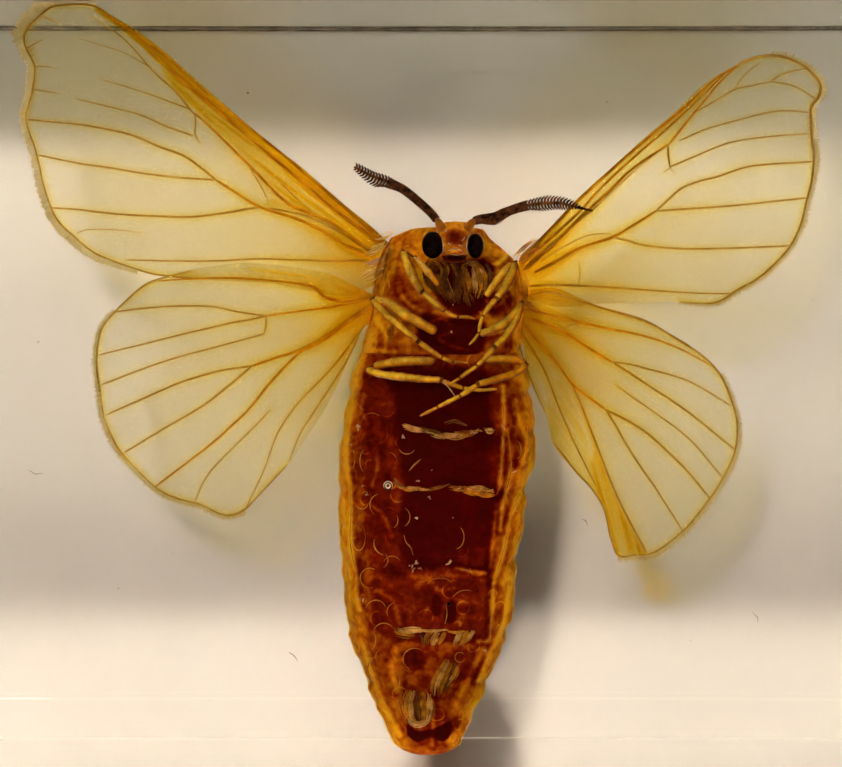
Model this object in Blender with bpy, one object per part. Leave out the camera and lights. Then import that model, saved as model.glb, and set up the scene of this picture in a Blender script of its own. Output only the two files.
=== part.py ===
# A silk moth cast in a clear rectangular block.
#
# The block lies flat. The moth lies in it belly up, head towards +Y, with its wings spread
# along X at the height where the two pours of the casting meet.
# The origin is the middle of the block's underside, +Z is up, and left is -X.
# The tables below are in millimetres; everything that is built from them is in metres.

import math

import bmesh
import bpy
from mathutils import Vector
from mathutils.geometry import delaunay_2d_cdt

MM = 0.001
GAP = 0.3  # mm left between pieces that touch in the real specimen

# The block
BLOCK_LENGTH = 73.0
BLOCK_WIDTH = 40.0
BLOCK_THICKNESS = 20.0
BLOCK_EDGE_ROUND = 0.4
POUR_HEIGHT = 9.6  # the two pours of the casting meet here, and the halves part here

# The wings
FOREWING_HEIGHT = 9.4  # middle of the wing at its root, above the block's underside
HINDWING_HEIGHT = 10.1
WING_THICKNESS = 0.25
LIFT_REACH = 20.0  # distance from the root at which a wing has its full lift
VEIN_RIDGE = 0.16  # how far a vein stands out of the wing towards the belly side
VEIN_HALF_WIDTH = 0.16
VEIN_STEP = 2.4  # spacing of points along a vein
MARGIN_STEP = 1.1  # spacing of points along a wing's margin

# The body
BODY_SIDES = 24  # points round the abdomen and thorax
BODY_STEP = 0.75  # spacing of their rings
BODY_SQUARENESS = 2.3  # 2 gives an ellipse, more gives fuller corners
HEAD_SIDES = 16
HEAD_STEP = 0.5
HEAD_SQUARENESS = 2.2
HEAD_TIP = 0.2  # how far the head's front and back stand out past its last sections
ABDOMEN_TIP = 0.15
HEAD_MIDDLE = (1.8, 7.4, 12.4)
EYE_RINGS = 6
EYE_SIDES = 12

# The legs
FEMUR_RADIUS = 0.26
FEMUR_TAPER = 0.25  # how much thinner a femur is at its ends
TIBIA_RADIUS = 0.20
TARSUS_RADIUS = 0.12
LIMB_SIDES = 8
LIMB_STEP = 1.0
TARSUS_STEP = 0.6

# The antennae
ANTENNA_TEETH = 19
ANTENNA_HALF_WIDTH = 0.20
ANTENNA_TOOTH = 0.17
ANTENNA_TOOTH_AT_ROOT = 0.35  # the teeth nearest the head, as a share of the longest ones
ANTENNA_TAPER_START = 0.85  # share of the length from which the antenna runs to a point
ANTENNA_TIP_WIDTH = 0.25  # share of its width left at the tip
ANTENNA_HALF_THICKNESS = 0.13
ANTENNA_SIDES = 6

# The pocket that holds the moth
POCKET_PLAY = 0.32  # clearance between the moth and the pocket
POCKET_STEP = 3.0
POCKET_SIDES = 16
POCKET_SQUARENESS = 3.6
SLOT_REACH = 0.35  # how far a wing's slot reaches past the plane where the halves part
SLOT_MARGIN_STEP = 2.2
SLOT_GRID = 4.0  # spacing of the points inside a slot's outline
SLOT_GRID_INSET = 1.5
ANTENNA_SLOT_STEP = 1.2
ANTENNA_SLOT_SIDES = 8
ANTENNA_SLOT_OVERRUN = 0.4  # how far the slot runs on past the antenna's tip
ANTENNA_SLOT_INWARD = 0.7  # how far the slot starts towards the head's middle, as a share

SMOOTH_ANGLE = math.radians(40)  # edges of the moth that fold more than this stay sharp
BLOCK_SMOOTH_ANGLE = math.radians(20)
TUBE_TIP = 0.6  # length of a tube's rounded end, as a share of its half height
SAME_POINT = 0.02  # points of a wing closer than this are one point

# Body sections: y, left side, right side, back (lowest), belly (highest)
ABDOMEN = (
    (1.4, -3.2, 5.2, 6.5, 12.2),
    (0.2, -3.6, 5.6, 6.2, 12.5),
    (-1.6, -3.95, 5.9, 6.0, 12.8),
    (-3.6, -4.25, 6.0, 5.9, 13.1),
    (-5.4, -4.25, 5.5, 5.9, 13.3),
    (-7.5, -4.2, 5.25, 5.9, 13.3),
    (-9.5, -4.1, 4.9, 6.0, 13.2),
    (-11.8, -3.9, 4.7, 6.2, 13.0),
    (-13.2, -3.7, 4.4, 6.4, 12.8),
    (-14.6, -3.1, 3.8, 6.8, 12.5),
    (-16.2, -2.6, 3.1, 7.3, 12.2),
    (-17.6, -1.9, 2.4, 7.9, 11.9),
    (-18.7, -1.3, 1.9, 8.5, 11.6),
    (-19.4, -0.6, 1.5, 9.2, 11.2),
)
ABDOMEN_CREASES = (-0.4, -2.5, -5.6, -9.2, -12.9, -15.6)  # where its rings meet
CREASE_DEPTH = 0.17
CREASE_WIDTH = 0.45
SIDE_FOLD_SHARE = 0.07  # the fold along each side of the belly, as a share of the half width
SIDE_FOLD_TURN = math.radians(45)
SIDE_FOLD_WIDTH = math.radians(9)

THORAX = (
    (8.1, -0.2, 3.0, 8.3, 10.3),
    (7.7, -1.6, 3.4, 7.3, 10.5),
    (7.1, -2.0, 4.2, 6.7, 10.6),
    (6.6, -2.2, 4.9, 6.4, 10.7),
    (6.0, -2.3, 5.2, 6.2, 11.3),
    (5.2, -2.3, 5.3, 6.1, 12.3),
    (4.2, -2.4, 5.4, 6.0, 12.6),
    (3.0, -2.75, 5.35, 6.0, 12.6),
    (1.75, -3.1, 5.3, 6.1, 12.4),
)
HEAD = (
    (8.3, 1.2, 2.5, 11.9, 12.9),
    (8.0, 0.8, 2.9, 11.3, 13.5),
    (7.4, 0.5, 3.1, 11.0, 13.9),
    (6.7, 0.5, 3.1, 11.1, 13.8),
    (6.3, 1.0, 2.7, 11.6, 13.3),
)
EYES = (  # centre, then half sizes
    ((0.60, 7.10, 12.75), (0.55, 0.68, 0.80)),
    ((2.80, 7.05, 12.75), (0.46, 0.62, 0.76)),
)

# Wing margins, seen from the belly side, from the front of the root round to its back.
# Then the veins, each with its own list.
FOREWING_LEFT = {
    "height": FOREWING_HEIGHT,
    "lift": 0.5,
    "margin": (
        (-2.5, 7.8), (-4.0, 9.4), (-7.7, 12.2), (-12.1, 15.9), (-14.9, 18.4), (-16.5, 19.2),
        (-17.8, 19.45), (-19.2, 19.4), (-20.3, 18.9), (-20.9, 18.2), (-20.8, 17.5), (-20.3, 16.6),
        (-20.5, 15.3), (-20.8, 14.2), (-20.3, 12.1), (-19.5, 9.2), (-18.8, 8.2), (-17.6, 7.2),
        (-14.9, 5.9), (-12.1, 5.5), (-8.0, 5.3), (-4.6, 4.8), (-2.9, 5.1),
    ),
    "veins": (
        ((-3.1, 7.9), (-6.4, 10.8), (-10.0, 13.6), (-13.5, 16.6), (-16.8, 18.9)),
        ((-3.1, 7.2), (-6.4, 9.3), (-9.0, 11.5), (-12.0, 14.2), (-14.1, 16.4), (-17.0, 18.8)),
        ((-12.0, 14.2), (-11.9, 13.1), (-14.8, 14.1), (-18.1, 15.0), (-20.2, 15.4)),
        ((-12.0, 14.2), (-14.5, 15.3), (-16.9, 16.1), (-20.0, 16.6)),
        ((-3.1, 6.8), (-6.4, 8.6), (-8.5, 9.3), (-10.8, 10.7), (-12.5, 12.0), (-15.1, 13.0), (-20.3, 13.8)),
        ((-10.8, 10.7), (-14.4, 11.0), (-18.1, 11.6), (-20.0, 12.0)),
        ((-8.5, 9.3), (-12.1, 8.8), (-16.1, 8.9), (-19.2, 9.2)),
        ((-3.1, 6.3), (-8.6, 6.5), (-15.6, 6.5)),
    ),
}
FOREWING_RIGHT = {
    "height": FOREWING_HEIGHT,
    "lift": 1.0,
    "margin": (
        (5.6, 6.5), (6.5, 7.7), (9.9, 11.2), (13.3, 14.2), (15.6, 16.2), (16.8, 16.9), (17.8, 17.2),
        (19.0, 17.2), (20.2, 16.7), (20.9, 16.1), (21.2, 15.4), (20.7, 14.7), (20.4, 13.4),
        (20.8, 11.6), (20.2, 9.4), (19.4, 7.1), (18.4, 6.0), (17.1, 5.1), (15.4, 4.3),
        (11.5, 4.2), (8.1, 4.0), (6.4, 4.1), (5.8, 4.8),
    ),
    "veins": (
        ((6.2, 6.9), (8.3, 9.2), (11.7, 12.3), (14.6, 14.9), (17.2, 16.7)),
        ((6.2, 6.4), (8.4, 8.7), (11.0, 11.0), (13.2, 12.6), (14.7, 14.4), (15.8, 15.8)),
        ((13.2, 12.6), (13.1, 11.4), (14.5, 12.0), (16.2, 12.6), (20.1, 13.1)),
        ((14.5, 14.3), (16.5, 15.4), (18.4, 15.9), (20.6, 15.0)),
        ((18.4, 15.9), (20.0, 16.4)),
        ((13.7, 12.9), (15.0, 13.4), (17.9, 14.2), (20.2, 14.2)),
        ((6.3, 6.0), (8.1, 7.0), (10.1, 7.7), (12.4, 9.1), (13.7, 10.3), (15.7, 10.9), (20.4, 11.6)),
        ((12.4, 9.1), (15.6, 9.3), (20.0, 9.8)),
        ((10.1, 7.7), (11.6, 7.3), (14.5, 7.1), (19.1, 7.3)),
        ((6.3, 5.3), (11.0, 5.0), (16.0, 4.7)),
    ),
}
HINDWING_LEFT = {
    "height": HINDWING_HEIGHT,
    "lift": -0.5,
    "margin": (
        (-3.1, 4.9), (-4.8, 5.8), (-8.8, 6.3), (-12.1, 6.0), (-14.6, 5.2), (-16.1, 3.8), (-16.9, 2.3),
        (-17.1, 0.9), (-16.7, -1.7), (-15.7, -3.8), (-14.1, -5.4), (-11.7, -6.4), (-10.6, -6.9),
        (-9.6, -6.9), (-8.6, -6.0), (-7.0, -3.9), (-4.9, -0.6), (-3.9, 1.6), (-3.1, 3.2),
    ),
    "veins": (
        ((-3.4, 4.3), (-6.4, 3.8), (-8.1, 3.5), (-10.9, 4.0), (-13.0, 4.1), (-15.8, 3.8)),
        ((-8.1, 3.5), (-12.5, 2.6), (-16.7, 1.5)),
        ((-8.3, 2.7), (-10.6, 2.0), (-13.1, 1.3), (-16.6, -0.1)),
        ((-3.4, 3.7), (-6.5, 1.7), (-8.9, 0.9), (-12.6, 0.1), (-16.4, -1.6)),
        ((-8.9, 0.9), (-11.6, -1.2), (-15.5, -3.6)),
        ((-6.5, 1.7), (-9.0, -1.3), (-11.1, -3.2), (-13.9, -5.2)),
        ((-3.9, 2.0), (-6.4, -0.9), (-7.7, -2.9), (-9.2, -6.3)),
    ),
}
HINDWING_RIGHT = {
    "height": HINDWING_HEIGHT,
    "lift": 0.3,
    "margin": (
        (5.8, 4.7), (7.0, 5.0), (9.4, 4.2), (11.9, 3.3), (14.2, 2.0), (15.7, 0.6), (16.4, -0.8),
        (16.7, -2.4), (16.4, -4.0), (15.7, -5.3), (13.8, -7.8), (12.4, -8.9), (11.3, -9.2),
        (10.4, -9.1), (9.9, -8.2), (9.5, -6.6), (8.1, -4.7), (6.9, -3.2), (6.6, -1.5), (6.3, 0.4),
        (5.9, 2.4),
    ),
    "veins": (
        ((6.2, 3.8), (8.3, 3.2), (11.7, 2.5), (14.8, 1.2)),
        ((6.2, 3.2), (7.8, 2.6), (10.0, 1.1), (14.0, 0.1), (16.1, -1.1)),
        ((10.0, 1.1), (11.8, 0.0), (14.0, -1.5), (16.3, -3.4)),
        ((10.3, -0.1), (14.0, -2.9), (15.6, -4.8)),
        ((6.2, 2.3), (8.0, -0.1), (9.7, -1.4), (11.9, -2.7), (15.0, -6.0)),
        ((9.7, -1.4), (12.4, -5.5), (13.6, -7.5)),
        ((8.0, -0.1), (9.6, -4.1), (11.7, -8.7)),
    ),
}
WINGS = {
    "forewing_left": FOREWING_LEFT,
    "forewing_right": FOREWING_RIGHT,
    "hindwing_left": HINDWING_LEFT,
    "hindwing_right": HINDWING_RIGHT,
}

# Legs: the femur from the belly out to the knee, then the tibia and the tarsus from the knee.
LEGS = {
    "foreleg_left": {
        "femur": ((0.7, 5.3, 13.3), (-0.8, 6.6, 12.9)),
        "tibia": ((-0.8, 6.6, 12.9), (0.2, 4.6, 13.5)),
        "tarsus": ((1.2, 3.7, 13.6), (1.6, 3.5, 13.6), (2.5, 3.4, 13.6)),
    },
    "foreleg_right": {
        "femur": ((3.3, 4.7, 13.4), (4.8, 6.1, 12.9)),
        "tibia": ((4.8, 6.1, 12.9), (3.9, 4.3, 13.8)),
        "tarsus": ((3.1, 3.4, 14.1), (3.0, 2.6, 14.2), (2.4, 2.0, 14.2)),
    },
    "midleg_left": {
        "femur": ((0.5, 2.8, 13.2), (-1.3, 3.8, 13.2), (-2.4, 4.2, 12.6)),
        "tibia": ((-2.4, 4.2, 12.6), (-1.1, 3.0, 13.4), (0.0, 2.1, 13.5)),
        "tarsus": ((1.2, 1.3, 13.5), (2.2, 1.1, 13.4)),
    },
    "midleg_right": {
        "femur": ((3.2, 2.6, 13.2), (4.5, 3.1, 13.1), (5.1, 4.0, 12.6)),
        "tibia": ((5.1, 4.0, 12.6), (4.3, 2.4, 13.4), (3.7, 1.8, 13.8)),
        "tarsus": ((2.8, 0.8, 14.2), (1.5, 0.0, 14.3)),
    },
    "hindleg_left": {
        "femur": ((0.4, 1.0, 13.0), (-1.1, 1.0, 12.9), (-2.7, 0.7, 12.3)),
        "tibia": ((-2.7, 0.7, 12.3), (-1.1, 0.2, 13.1), (1.0, 0.1, 13.4)),
        "tarsus": ((2.1, -0.3, 13.4), (3.2, -0.5, 13.4)),
    },
    "hindleg_right": {
        "femur": ((3.3, 1.2, 13.1), (4.4, 1.2, 12.9), (5.3, 1.0, 12.4)),
        "tibia": ((5.3, 1.0, 12.4), (4.3, 0.4, 13.2), (2.8, 0.0, 13.9)),
        "tarsus": ((1.6, -0.9, 14.1), (-0.1, -1.6, 13.8)),
    },
}
ANTENNAE = {
    "antenna_left": ((0.6, 8.7, 12.6), (-0.1, 9.3, 12.6), (-1.0, 9.9, 12.5), (-2.0, 10.4, 12.4),
                     (-2.9, 10.7, 12.3), (-3.5, 11.1, 12.3)),
    "antenna_right": ((3.0, 8.6, 12.6), (3.8, 8.6, 12.6), (4.4, 8.9, 12.5), (5.6, 9.25, 12.4),
                      (7.0, 9.35, 12.3), (8.0, 9.15, 12.3), (8.9, 8.9, 12.3)),
}

# The pocket round the body and legs: y, left side, right side, lowest, highest
BODY_POCKET = (
    (9.0, 0.4, 3.0, 8.0, 13.4),
    (8.5, -1.4, 3.8, 7.2, 14.1),
    (7.5, -2.4, 4.6, 6.2, 14.5),
    (6.4, -2.8, 5.7, 5.8, 14.7),
    (4.2, -3.0, 5.9, 5.6, 14.9),
    (1.0, -3.9, 6.1, 5.6, 14.9),
    (-1.6, -4.4, 6.3, 5.6, 14.7),
    (-3.6, -4.7, 6.4, 5.5, 14.2),
    (-6.4, -4.65, 5.8, 5.5, 13.8),
    (-9.5, -4.5, 5.4, 5.6, 13.7),
    (-13.0, -4.2, 4.9, 6.0, 13.3),
    (-16.2, -3.0, 3.5, 6.9, 12.7),
    (-18.6, -1.8, 2.3, 8.0, 12.1),
    (-19.75, -1.0, 1.8, 8.9, 11.7),
)

CLEAR = ("clear resin", (0.93, 0.92, 0.86), 0.05)
AMBER = ("amber wing", (0.72, 0.50, 0.14), 0.35)
MAROON = ("maroon body", (0.24, 0.05, 0.02), 0.35)
CHESTNUT = ("chestnut thorax", (0.40, 0.14, 0.03), 0.40)
HONEY = ("honey leg", (0.60, 0.30, 0.05), 0.40)
RUST = ("rust head", (0.45, 0.12, 0.03), 0.40)
UMBER = ("umber antenna", (0.09, 0.04, 0.02), 0.60)


def clear_scene():
    for old in list(bpy.data.objects):
        bpy.data.objects.remove(old, do_unlink=True)


def finish(name, colour, roughness):
    # One Principled material: colour, roughness, and no metal anywhere on this object.
    material = bpy.data.materials.get(name) or bpy.data.materials.new(name)
    material.use_nodes = True
    shader = material.node_tree.nodes["Principled BSDF"]
    shader.inputs["Base Color"].default_value = (*colour, 1.0)
    shader.inputs["Roughness"].default_value = roughness
    shader.inputs["Metallic"].default_value = 0.0
    return material


def smooth_line(points, spans_step, closed=False):
    # A smooth line through the given points, with a point about every spans_step.
    count = len(points)
    line = []
    for index in range(count if closed else count - 1):
        if closed:
            before, start, end, after = (Vector(points[(index + k) % count]) for k in (-1, 0, 1, 2))
        else:
            start = Vector(points[index])
            end = Vector(points[index + 1])
            before = Vector(points[index - 1]) if index else start * 2 - end
            after = Vector(points[index + 2]) if index + 2 < count else end * 2 - start
        steps = max(1, round((end - start).length / spans_step))
        for step in range(steps):
            t = step / steps
            line.append(0.5 * (2 * start + (end - before) * t
                               + (2 * before - 5 * start + 4 * end - after) * t ** 2
                               + (3 * start - before - 3 * end + after) * t ** 3))
    if not closed:
        line.append(Vector(points[-1]))
    return line


def build_object(name, mesh_data, look, cutter=False):
    # mesh_data is (points in mm, faces). Turns it into an object with outward faces.
    mesh = bpy.data.meshes.new(name)
    shape = bmesh.new()
    corners = [shape.verts.new(Vector(point) * MM) for point in mesh_data[0]]
    for face in mesh_data[1]:
        shape.faces.new([corners[index] for index in face])
    bmesh.ops.recalc_face_normals(shape, faces=shape.faces)
    shape.to_mesh(mesh)
    shape.free()
    mesh.shade_smooth()
    mesh.set_sharp_from_angle(angle=SMOOTH_ANGLE)
    piece = bpy.data.objects.new(name, mesh)
    bpy.context.collection.objects.link(piece)
    mesh.materials.append(finish(*look))
    if cutter:
        piece.hide_render = True
        piece.display_type = "WIRE"
    return piece


def combine(piece, other, operation):
    step = piece.modifiers.new(f"{operation.lower()} {other.name}", "BOOLEAN")
    step.operation = operation
    step.solver = "EXACT"
    step.object = other


def rings_to_mesh(rings, front_tip, back_tip):
    # Joins rings of equal count into a skin and closes each end on its tip.
    sides = len(rings[0])
    points = [point for ring in rings for point in ring]
    faces = []
    for ring in range(len(rings) - 1):
        for side in range(sides):
            after = (side + 1) % sides
            low = ring * sides
            high = low + sides
            faces.append((low + side, low + after, high + after, high + side))
    front = len(points)
    points += [front_tip, back_tip]
    last = (len(rings) - 1) * sides
    for side in range(sides):
        after = (side + 1) % sides
        faces.append((front, after, side))
        faces.append((front + 1, last + side, last + after))
    return points, faces


def fold_shape(turn):
    return math.exp(-((turn - SIDE_FOLD_TURN) / SIDE_FOLD_WIDTH) ** 2)


def body_rings(sections, sides, step, squareness, creases, side_fold):
    # Rounded cross sections along Y, pinched at the creases and folded in along both sides.
    rings = []
    for y, left, right, back, belly in smooth_line(sections, step):
        pinch = sum(CREASE_DEPTH * math.exp(-((y - crease) / CREASE_WIDTH) ** 2) for crease in creases)
        half_width = (right - left) / 2 - pinch
        half_height = (belly - back) / 2 - pinch
        ring = []
        for side in range(sides):
            turn = 2 * math.pi * side / sides
            across = math.copysign(abs(math.cos(turn)) ** (2 / squareness), math.cos(turn))
            up = math.copysign(abs(math.sin(turn)) ** (2 / squareness), math.sin(turn))
            fold = side_fold * half_width * (fold_shape(turn) + fold_shape(math.pi - turn))
            ring.append(((left + right) / 2 + (half_width - fold) * across, y,
                         (back + belly) / 2 + (half_height - fold) * up))
        rings.append(ring)
    return rings


def body_piece(name, sections, look, tip_out, step=BODY_STEP, sides=BODY_SIDES,
               squareness=BODY_SQUARENESS, creases=(), side_fold=0.0, cutter=False):
    rings = body_rings(sections, sides, step, squareness, creases, side_fold)
    tips = []
    for section, direction in ((sections[0], 1), (sections[-1], -1)):
        y, left, right, back, belly = section
        tips.append(((left + right) / 2, y + direction * tip_out, (back + belly) / 2))
    return build_object(name, rings_to_mesh(rings, *tips), look, cutter)


def tube_mesh(path, half_widths, half_heights, sides):
    # A tube along a path that lies roughly flat, with rounded ends.
    rings = []
    for index, point in enumerate(path):
        before = path[max(index - 1, 0)]
        after = path[min(index + 1, len(path) - 1)]
        along = (after - before).normalized()
        across = along.cross(Vector((0, 0, 1))).normalized()
        up = across.cross(along)
        ring = []
        for side in range(sides):
            turn = 2 * math.pi * side / sides
            ring.append(point + across * half_widths[index] * math.cos(turn)
                        + up * half_heights[index] * math.sin(turn))
        rings.append(ring)
    front_tip = path[0] + (path[0] - path[1]).normalized() * half_heights[0] * TUBE_TIP
    back_tip = path[-1] + (path[-1] - path[-2]).normalized() * half_heights[-1] * TUBE_TIP
    return rings_to_mesh(rings, front_tip, back_tip)


def eye_mesh(centre, half_sizes):
    skin = []
    for ring in range(1, EYE_RINGS):
        tilt = math.pi * ring / EYE_RINGS
        turns = [2 * math.pi * side / EYE_SIDES for side in range(EYE_SIDES)]
        skin.append([(centre[0] + half_sizes[0] * math.sin(tilt) * math.cos(turn),
                      centre[1] + half_sizes[1] * math.sin(tilt) * math.sin(turn),
                      centre[2] + half_sizes[2] * math.cos(tilt)) for turn in turns])
    top = (centre[0], centre[1], centre[2] + half_sizes[2])
    bottom = (centre[0], centre[1], centre[2] - half_sizes[2])
    return rings_to_mesh(skin, top, bottom)


def wing_height(wing, point):
    # The wing's middle height: level at the root, lifting (or drooping) towards its far end.
    root = Vector(wing["margin"][0])
    reach = (Vector(point) - root).length / LIFT_REACH
    return wing["height"] + wing["lift"] * reach ** 2


def inside(outline, point):
    hit = False
    for index, corner in enumerate(outline):
        previous = outline[index - 1]
        if (corner[1] > point[1]) != (previous[1] > point[1]):
            slope = (previous[0] - corner[0]) / (previous[1] - corner[1])
            if point[0] < corner[0] + slope * (point[1] - corner[1]):
                hit = not hit
    return hit


def distance_to_line(point, line):
    nearest = math.inf
    for start, end in zip(line, line[1:]):
        run = end - start
        share = max(0.0, min(1.0, (point - start).dot(run) / run.length_squared))
        nearest = min(nearest, (point - start - run * share).length)
    return nearest


def flat_triangles(outline, lines, loose):
    # Triangles that fill the outline and keep every given line as edges.
    points = list(outline)
    edges = [(index, (index + 1) % len(outline)) for index in range(len(outline))]
    for line in lines:
        first = len(points)
        points += line
        edges += [(first + index, first + index + 1) for index in range(len(line) - 1)]
    points += loose
    corners, _, faces, _, _, _ = delaunay_2d_cdt(points, edges, [], 0, SAME_POINT)
    kept = []
    for face in faces:
        middle = sum((corners[index] for index in face), Vector((0, 0))) / len(face)
        if inside(outline, middle):
            kept.append(face)
    return corners, kept


def sheet_mesh(corners, faces, lowest, highest):
    # A closed sheet between two height functions over flat triangles.
    used = sorted({index for face in faces for index in face})
    place = {index: number for number, index in enumerate(used)}
    flat = [corners[index] for index in used]
    points = [(point[0], point[1], highest(point)) for point in flat]
    points += [(point[0], point[1], lowest(point)) for point in flat]
    below = len(flat)
    skin = []
    border = {}
    for face in faces:
        top = [place[index] for index in face]
        skin.append(tuple(top))
        skin.append(tuple(below + index for index in reversed(top)))
        for start, end in zip(top, top[1:] + top[:1]):
            if border.pop((end, start), None) is None:
                border[(start, end)] = True
    for start, end in border:
        skin.append((start, below + start, below + end, end))
    return points, skin


def vein_lines(vein, outline):
    # A vein's crest and the foot of the ridge at both sides, where they lie in the wing.
    crest = smooth_line(vein, VEIN_STEP)
    lines = [crest]
    for side in (-1, 1):
        foot = []
        for index, point in enumerate(crest):
            along = (crest[min(index + 1, len(crest) - 1)] - crest[max(index - 1, 0)]).normalized()
            moved = point + Vector((-along.y, along.x)) * side * VEIN_HALF_WIDTH
            if inside(outline, moved):
                foot.append(moved)
        if len(foot) > 1:
            lines.append(foot)
    return lines


def make_wing(name, wing):
    outline = smooth_line(wing["margin"], MARGIN_STEP, closed=True)
    crests = [smooth_line(vein, VEIN_STEP) for vein in wing["veins"]]
    lines = [line for vein in wing["veins"] for line in vein_lines(vein, outline)]
    corners, faces = flat_triangles(outline, lines, [])

    def lowest(point):
        return wing_height(wing, point) - WING_THICKNESS / 2

    def highest(point):
        near = min(distance_to_line(point, crest) for crest in crests)
        ridge = VEIN_RIDGE * max(0.0, 1 - near / VEIN_HALF_WIDTH)
        return wing_height(wing, point) + WING_THICKNESS / 2 + ridge

    return build_object(name, sheet_mesh(corners, faces, lowest, highest), AMBER)


def grown(outline, distance):
    # The outline moved outwards by a distance. The outline runs anticlockwise or clockwise.
    area = sum(a[0] * b[1] - b[0] * a[1] for a, b in zip(outline, outline[1:] + outline[:1]))
    turn = 1 if area > 0 else -1
    moved = []
    for index, point in enumerate(outline):
        along = (outline[(index + 1) % len(outline)] - outline[index - 1]).normalized()
        moved.append(point + Vector((along.y, -along.x)) * turn * distance)
    return moved


def wing_slot(name, wing):
    outline = grown(smooth_line(wing["margin"], SLOT_MARGIN_STEP, closed=True), POCKET_PLAY)
    grid = [Vector((x, y)) * SLOT_GRID for x in range(-6, 7) for y in range(-3, 6)]
    loose = [point for point in grid if inside(grown(outline, -SLOT_GRID_INSET), point)]
    corners, faces = flat_triangles(outline, [], loose)
    room = WING_THICKNESS / 2 + POCKET_PLAY

    def lowest(point):
        return min(wing_height(wing, point) - room, POUR_HEIGHT - SLOT_REACH)

    def highest(point):
        return max(wing_height(wing, point) + room + VEIN_RIDGE, POUR_HEIGHT + SLOT_REACH)

    return build_object(name, sheet_mesh(corners, faces, lowest, highest), CLEAR, cutter=True)


def make_antenna(name, points):
    # A flat shaft with teeth along both edges, longest in the middle of its length.
    path = smooth_line(points, 0.01)
    rings = 2 * ANTENNA_TEETH + 1
    path = [path[round(index * (len(path) - 1) / (rings - 1))] for index in range(rings)]
    widths = []
    for index in range(rings):
        along = index / (rings - 1)
        past_taper = max(0.0, (along - ANTENNA_TAPER_START) / (1 - ANTENNA_TAPER_START))
        taper = 1 - (1 - ANTENNA_TIP_WIDTH) * past_taper
        reach = ANTENNA_TOOTH_AT_ROOT + (1 - ANTENNA_TOOTH_AT_ROOT) * math.sin(math.pi * along)
        tooth = ANTENNA_TOOTH * reach if index % 2 else 0.0
        widths.append((ANTENNA_HALF_WIDTH + tooth) * taper)
    heights = [ANTENNA_HALF_THICKNESS] * rings
    return build_object(name, tube_mesh(path, widths, heights, ANTENNA_SIDES), UMBER)


def antenna_slot(name, points):
    # Starts inside the head's pocket, so that it opens into it.
    inner = Vector(points[0]).lerp(Vector(HEAD_MIDDLE), ANTENNA_SLOT_INWARD)
    outward = (Vector(points[-1]) - Vector(points[-2])).normalized()
    outer = Vector(points[-1]) + outward * ANTENNA_SLOT_OVERRUN
    path = smooth_line([inner, *points[:-1], outer], ANTENNA_SLOT_STEP)
    wide = [ANTENNA_HALF_WIDTH + ANTENNA_TOOTH + POCKET_PLAY] * len(path)
    high = [ANTENNA_HALF_THICKNESS + POCKET_PLAY] * len(path)
    return build_object(name, tube_mesh(path, wide, high, ANTENNA_SLOT_SIDES), CLEAR, cutter=True)


def make_leg(name, leg):
    femur_path = smooth_line(leg["femur"], LIMB_STEP)
    widest = len(femur_path) // 2
    off_middle = [abs(index - widest) / widest for index in range(len(femur_path))]
    radii = [FEMUR_RADIUS * (1 - FEMUR_TAPER * share) for share in off_middle]
    femur = build_object(name, tube_mesh(femur_path, radii, radii, LIMB_SIDES), HONEY)
    tibia_path = smooth_line(leg["tibia"], LIMB_STEP)
    tarsus_path = smooth_line((leg["tibia"][-1], *leg["tarsus"]), TARSUS_STEP)[1:]
    radii = [TIBIA_RADIUS] * len(tibia_path) + [TARSUS_RADIUS] * len(tarsus_path)
    shank_mesh = tube_mesh(tibia_path + tarsus_path, radii, radii, LIMB_SIDES)
    shank = build_object(f"{name}_shank", shank_mesh, HONEY, cutter=True)
    combine(femur, shank, "UNION")
    return femur


def make_head():
    head = body_piece("head", HEAD, RUST, HEAD_TIP, step=HEAD_STEP, sides=HEAD_SIDES,
                      squareness=HEAD_SQUARENESS)
    for index, (centre, half_sizes) in enumerate(EYES):
        eye = build_object(f"eye_{index}", eye_mesh(centre, half_sizes), UMBER, cutter=True)
        combine(head, eye, "UNION")
    return head


def block_half(name, low, high, outer):
    # A slab of the block. outer is the height of its outside face, whose edges are rounded.
    half_length = BLOCK_LENGTH / 2
    half_width = BLOCK_WIDTH / 2
    points = [(x, y, z) for z in (low, high) for x, y in (
        (-half_length, -half_width), (half_length, -half_width),
        (half_length, half_width), (-half_length, half_width))]
    faces = [(0, 1, 2, 3), (4, 5, 6, 7), (0, 1, 5, 4), (1, 2, 6, 5), (2, 3, 7, 6), (3, 0, 4, 7)]
    half = build_object(name, (points, faces), CLEAR)
    shape = bmesh.new()
    shape.from_mesh(half.data)
    parting = (low if outer == high else high) * MM
    rounded = [edge for edge in shape.edges
               if not all(abs(corner.co.z - parting) < GAP * MM / 2 for corner in edge.verts)]
    bmesh.ops.bevel(shape, geom=rounded, offset=BLOCK_EDGE_ROUND * MM, segments=2, profile=0.5,
                    affect="EDGES", clamp_overlap=True)
    shape.to_mesh(half.data)
    shape.free()
    half.data.set_sharp_from_angle(angle=BLOCK_SMOOTH_ANGLE)
    return half


def make_block():
    lower = block_half("block_lower", 0.0, POUR_HEIGHT - GAP / 2, 0.0)
    upper = block_half("block_upper", POUR_HEIGHT + GAP / 2, BLOCK_THICKNESS, BLOCK_THICKNESS)
    pockets = [body_piece("body_pocket", BODY_POCKET, CLEAR, 0.0, step=POCKET_STEP,
                          sides=POCKET_SIDES, squareness=POCKET_SQUARENESS, cutter=True)]
    pockets += [wing_slot(f"{name}_slot", wing) for name, wing in WINGS.items()]
    for pocket in pockets:
        combine(lower, pocket, "DIFFERENCE")
        combine(upper, pocket, "DIFFERENCE")
    for name, points in ANTENNAE.items():
        combine(upper, antenna_slot(f"{name}_slot", points), "DIFFERENCE")
    return lower, upper


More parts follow.
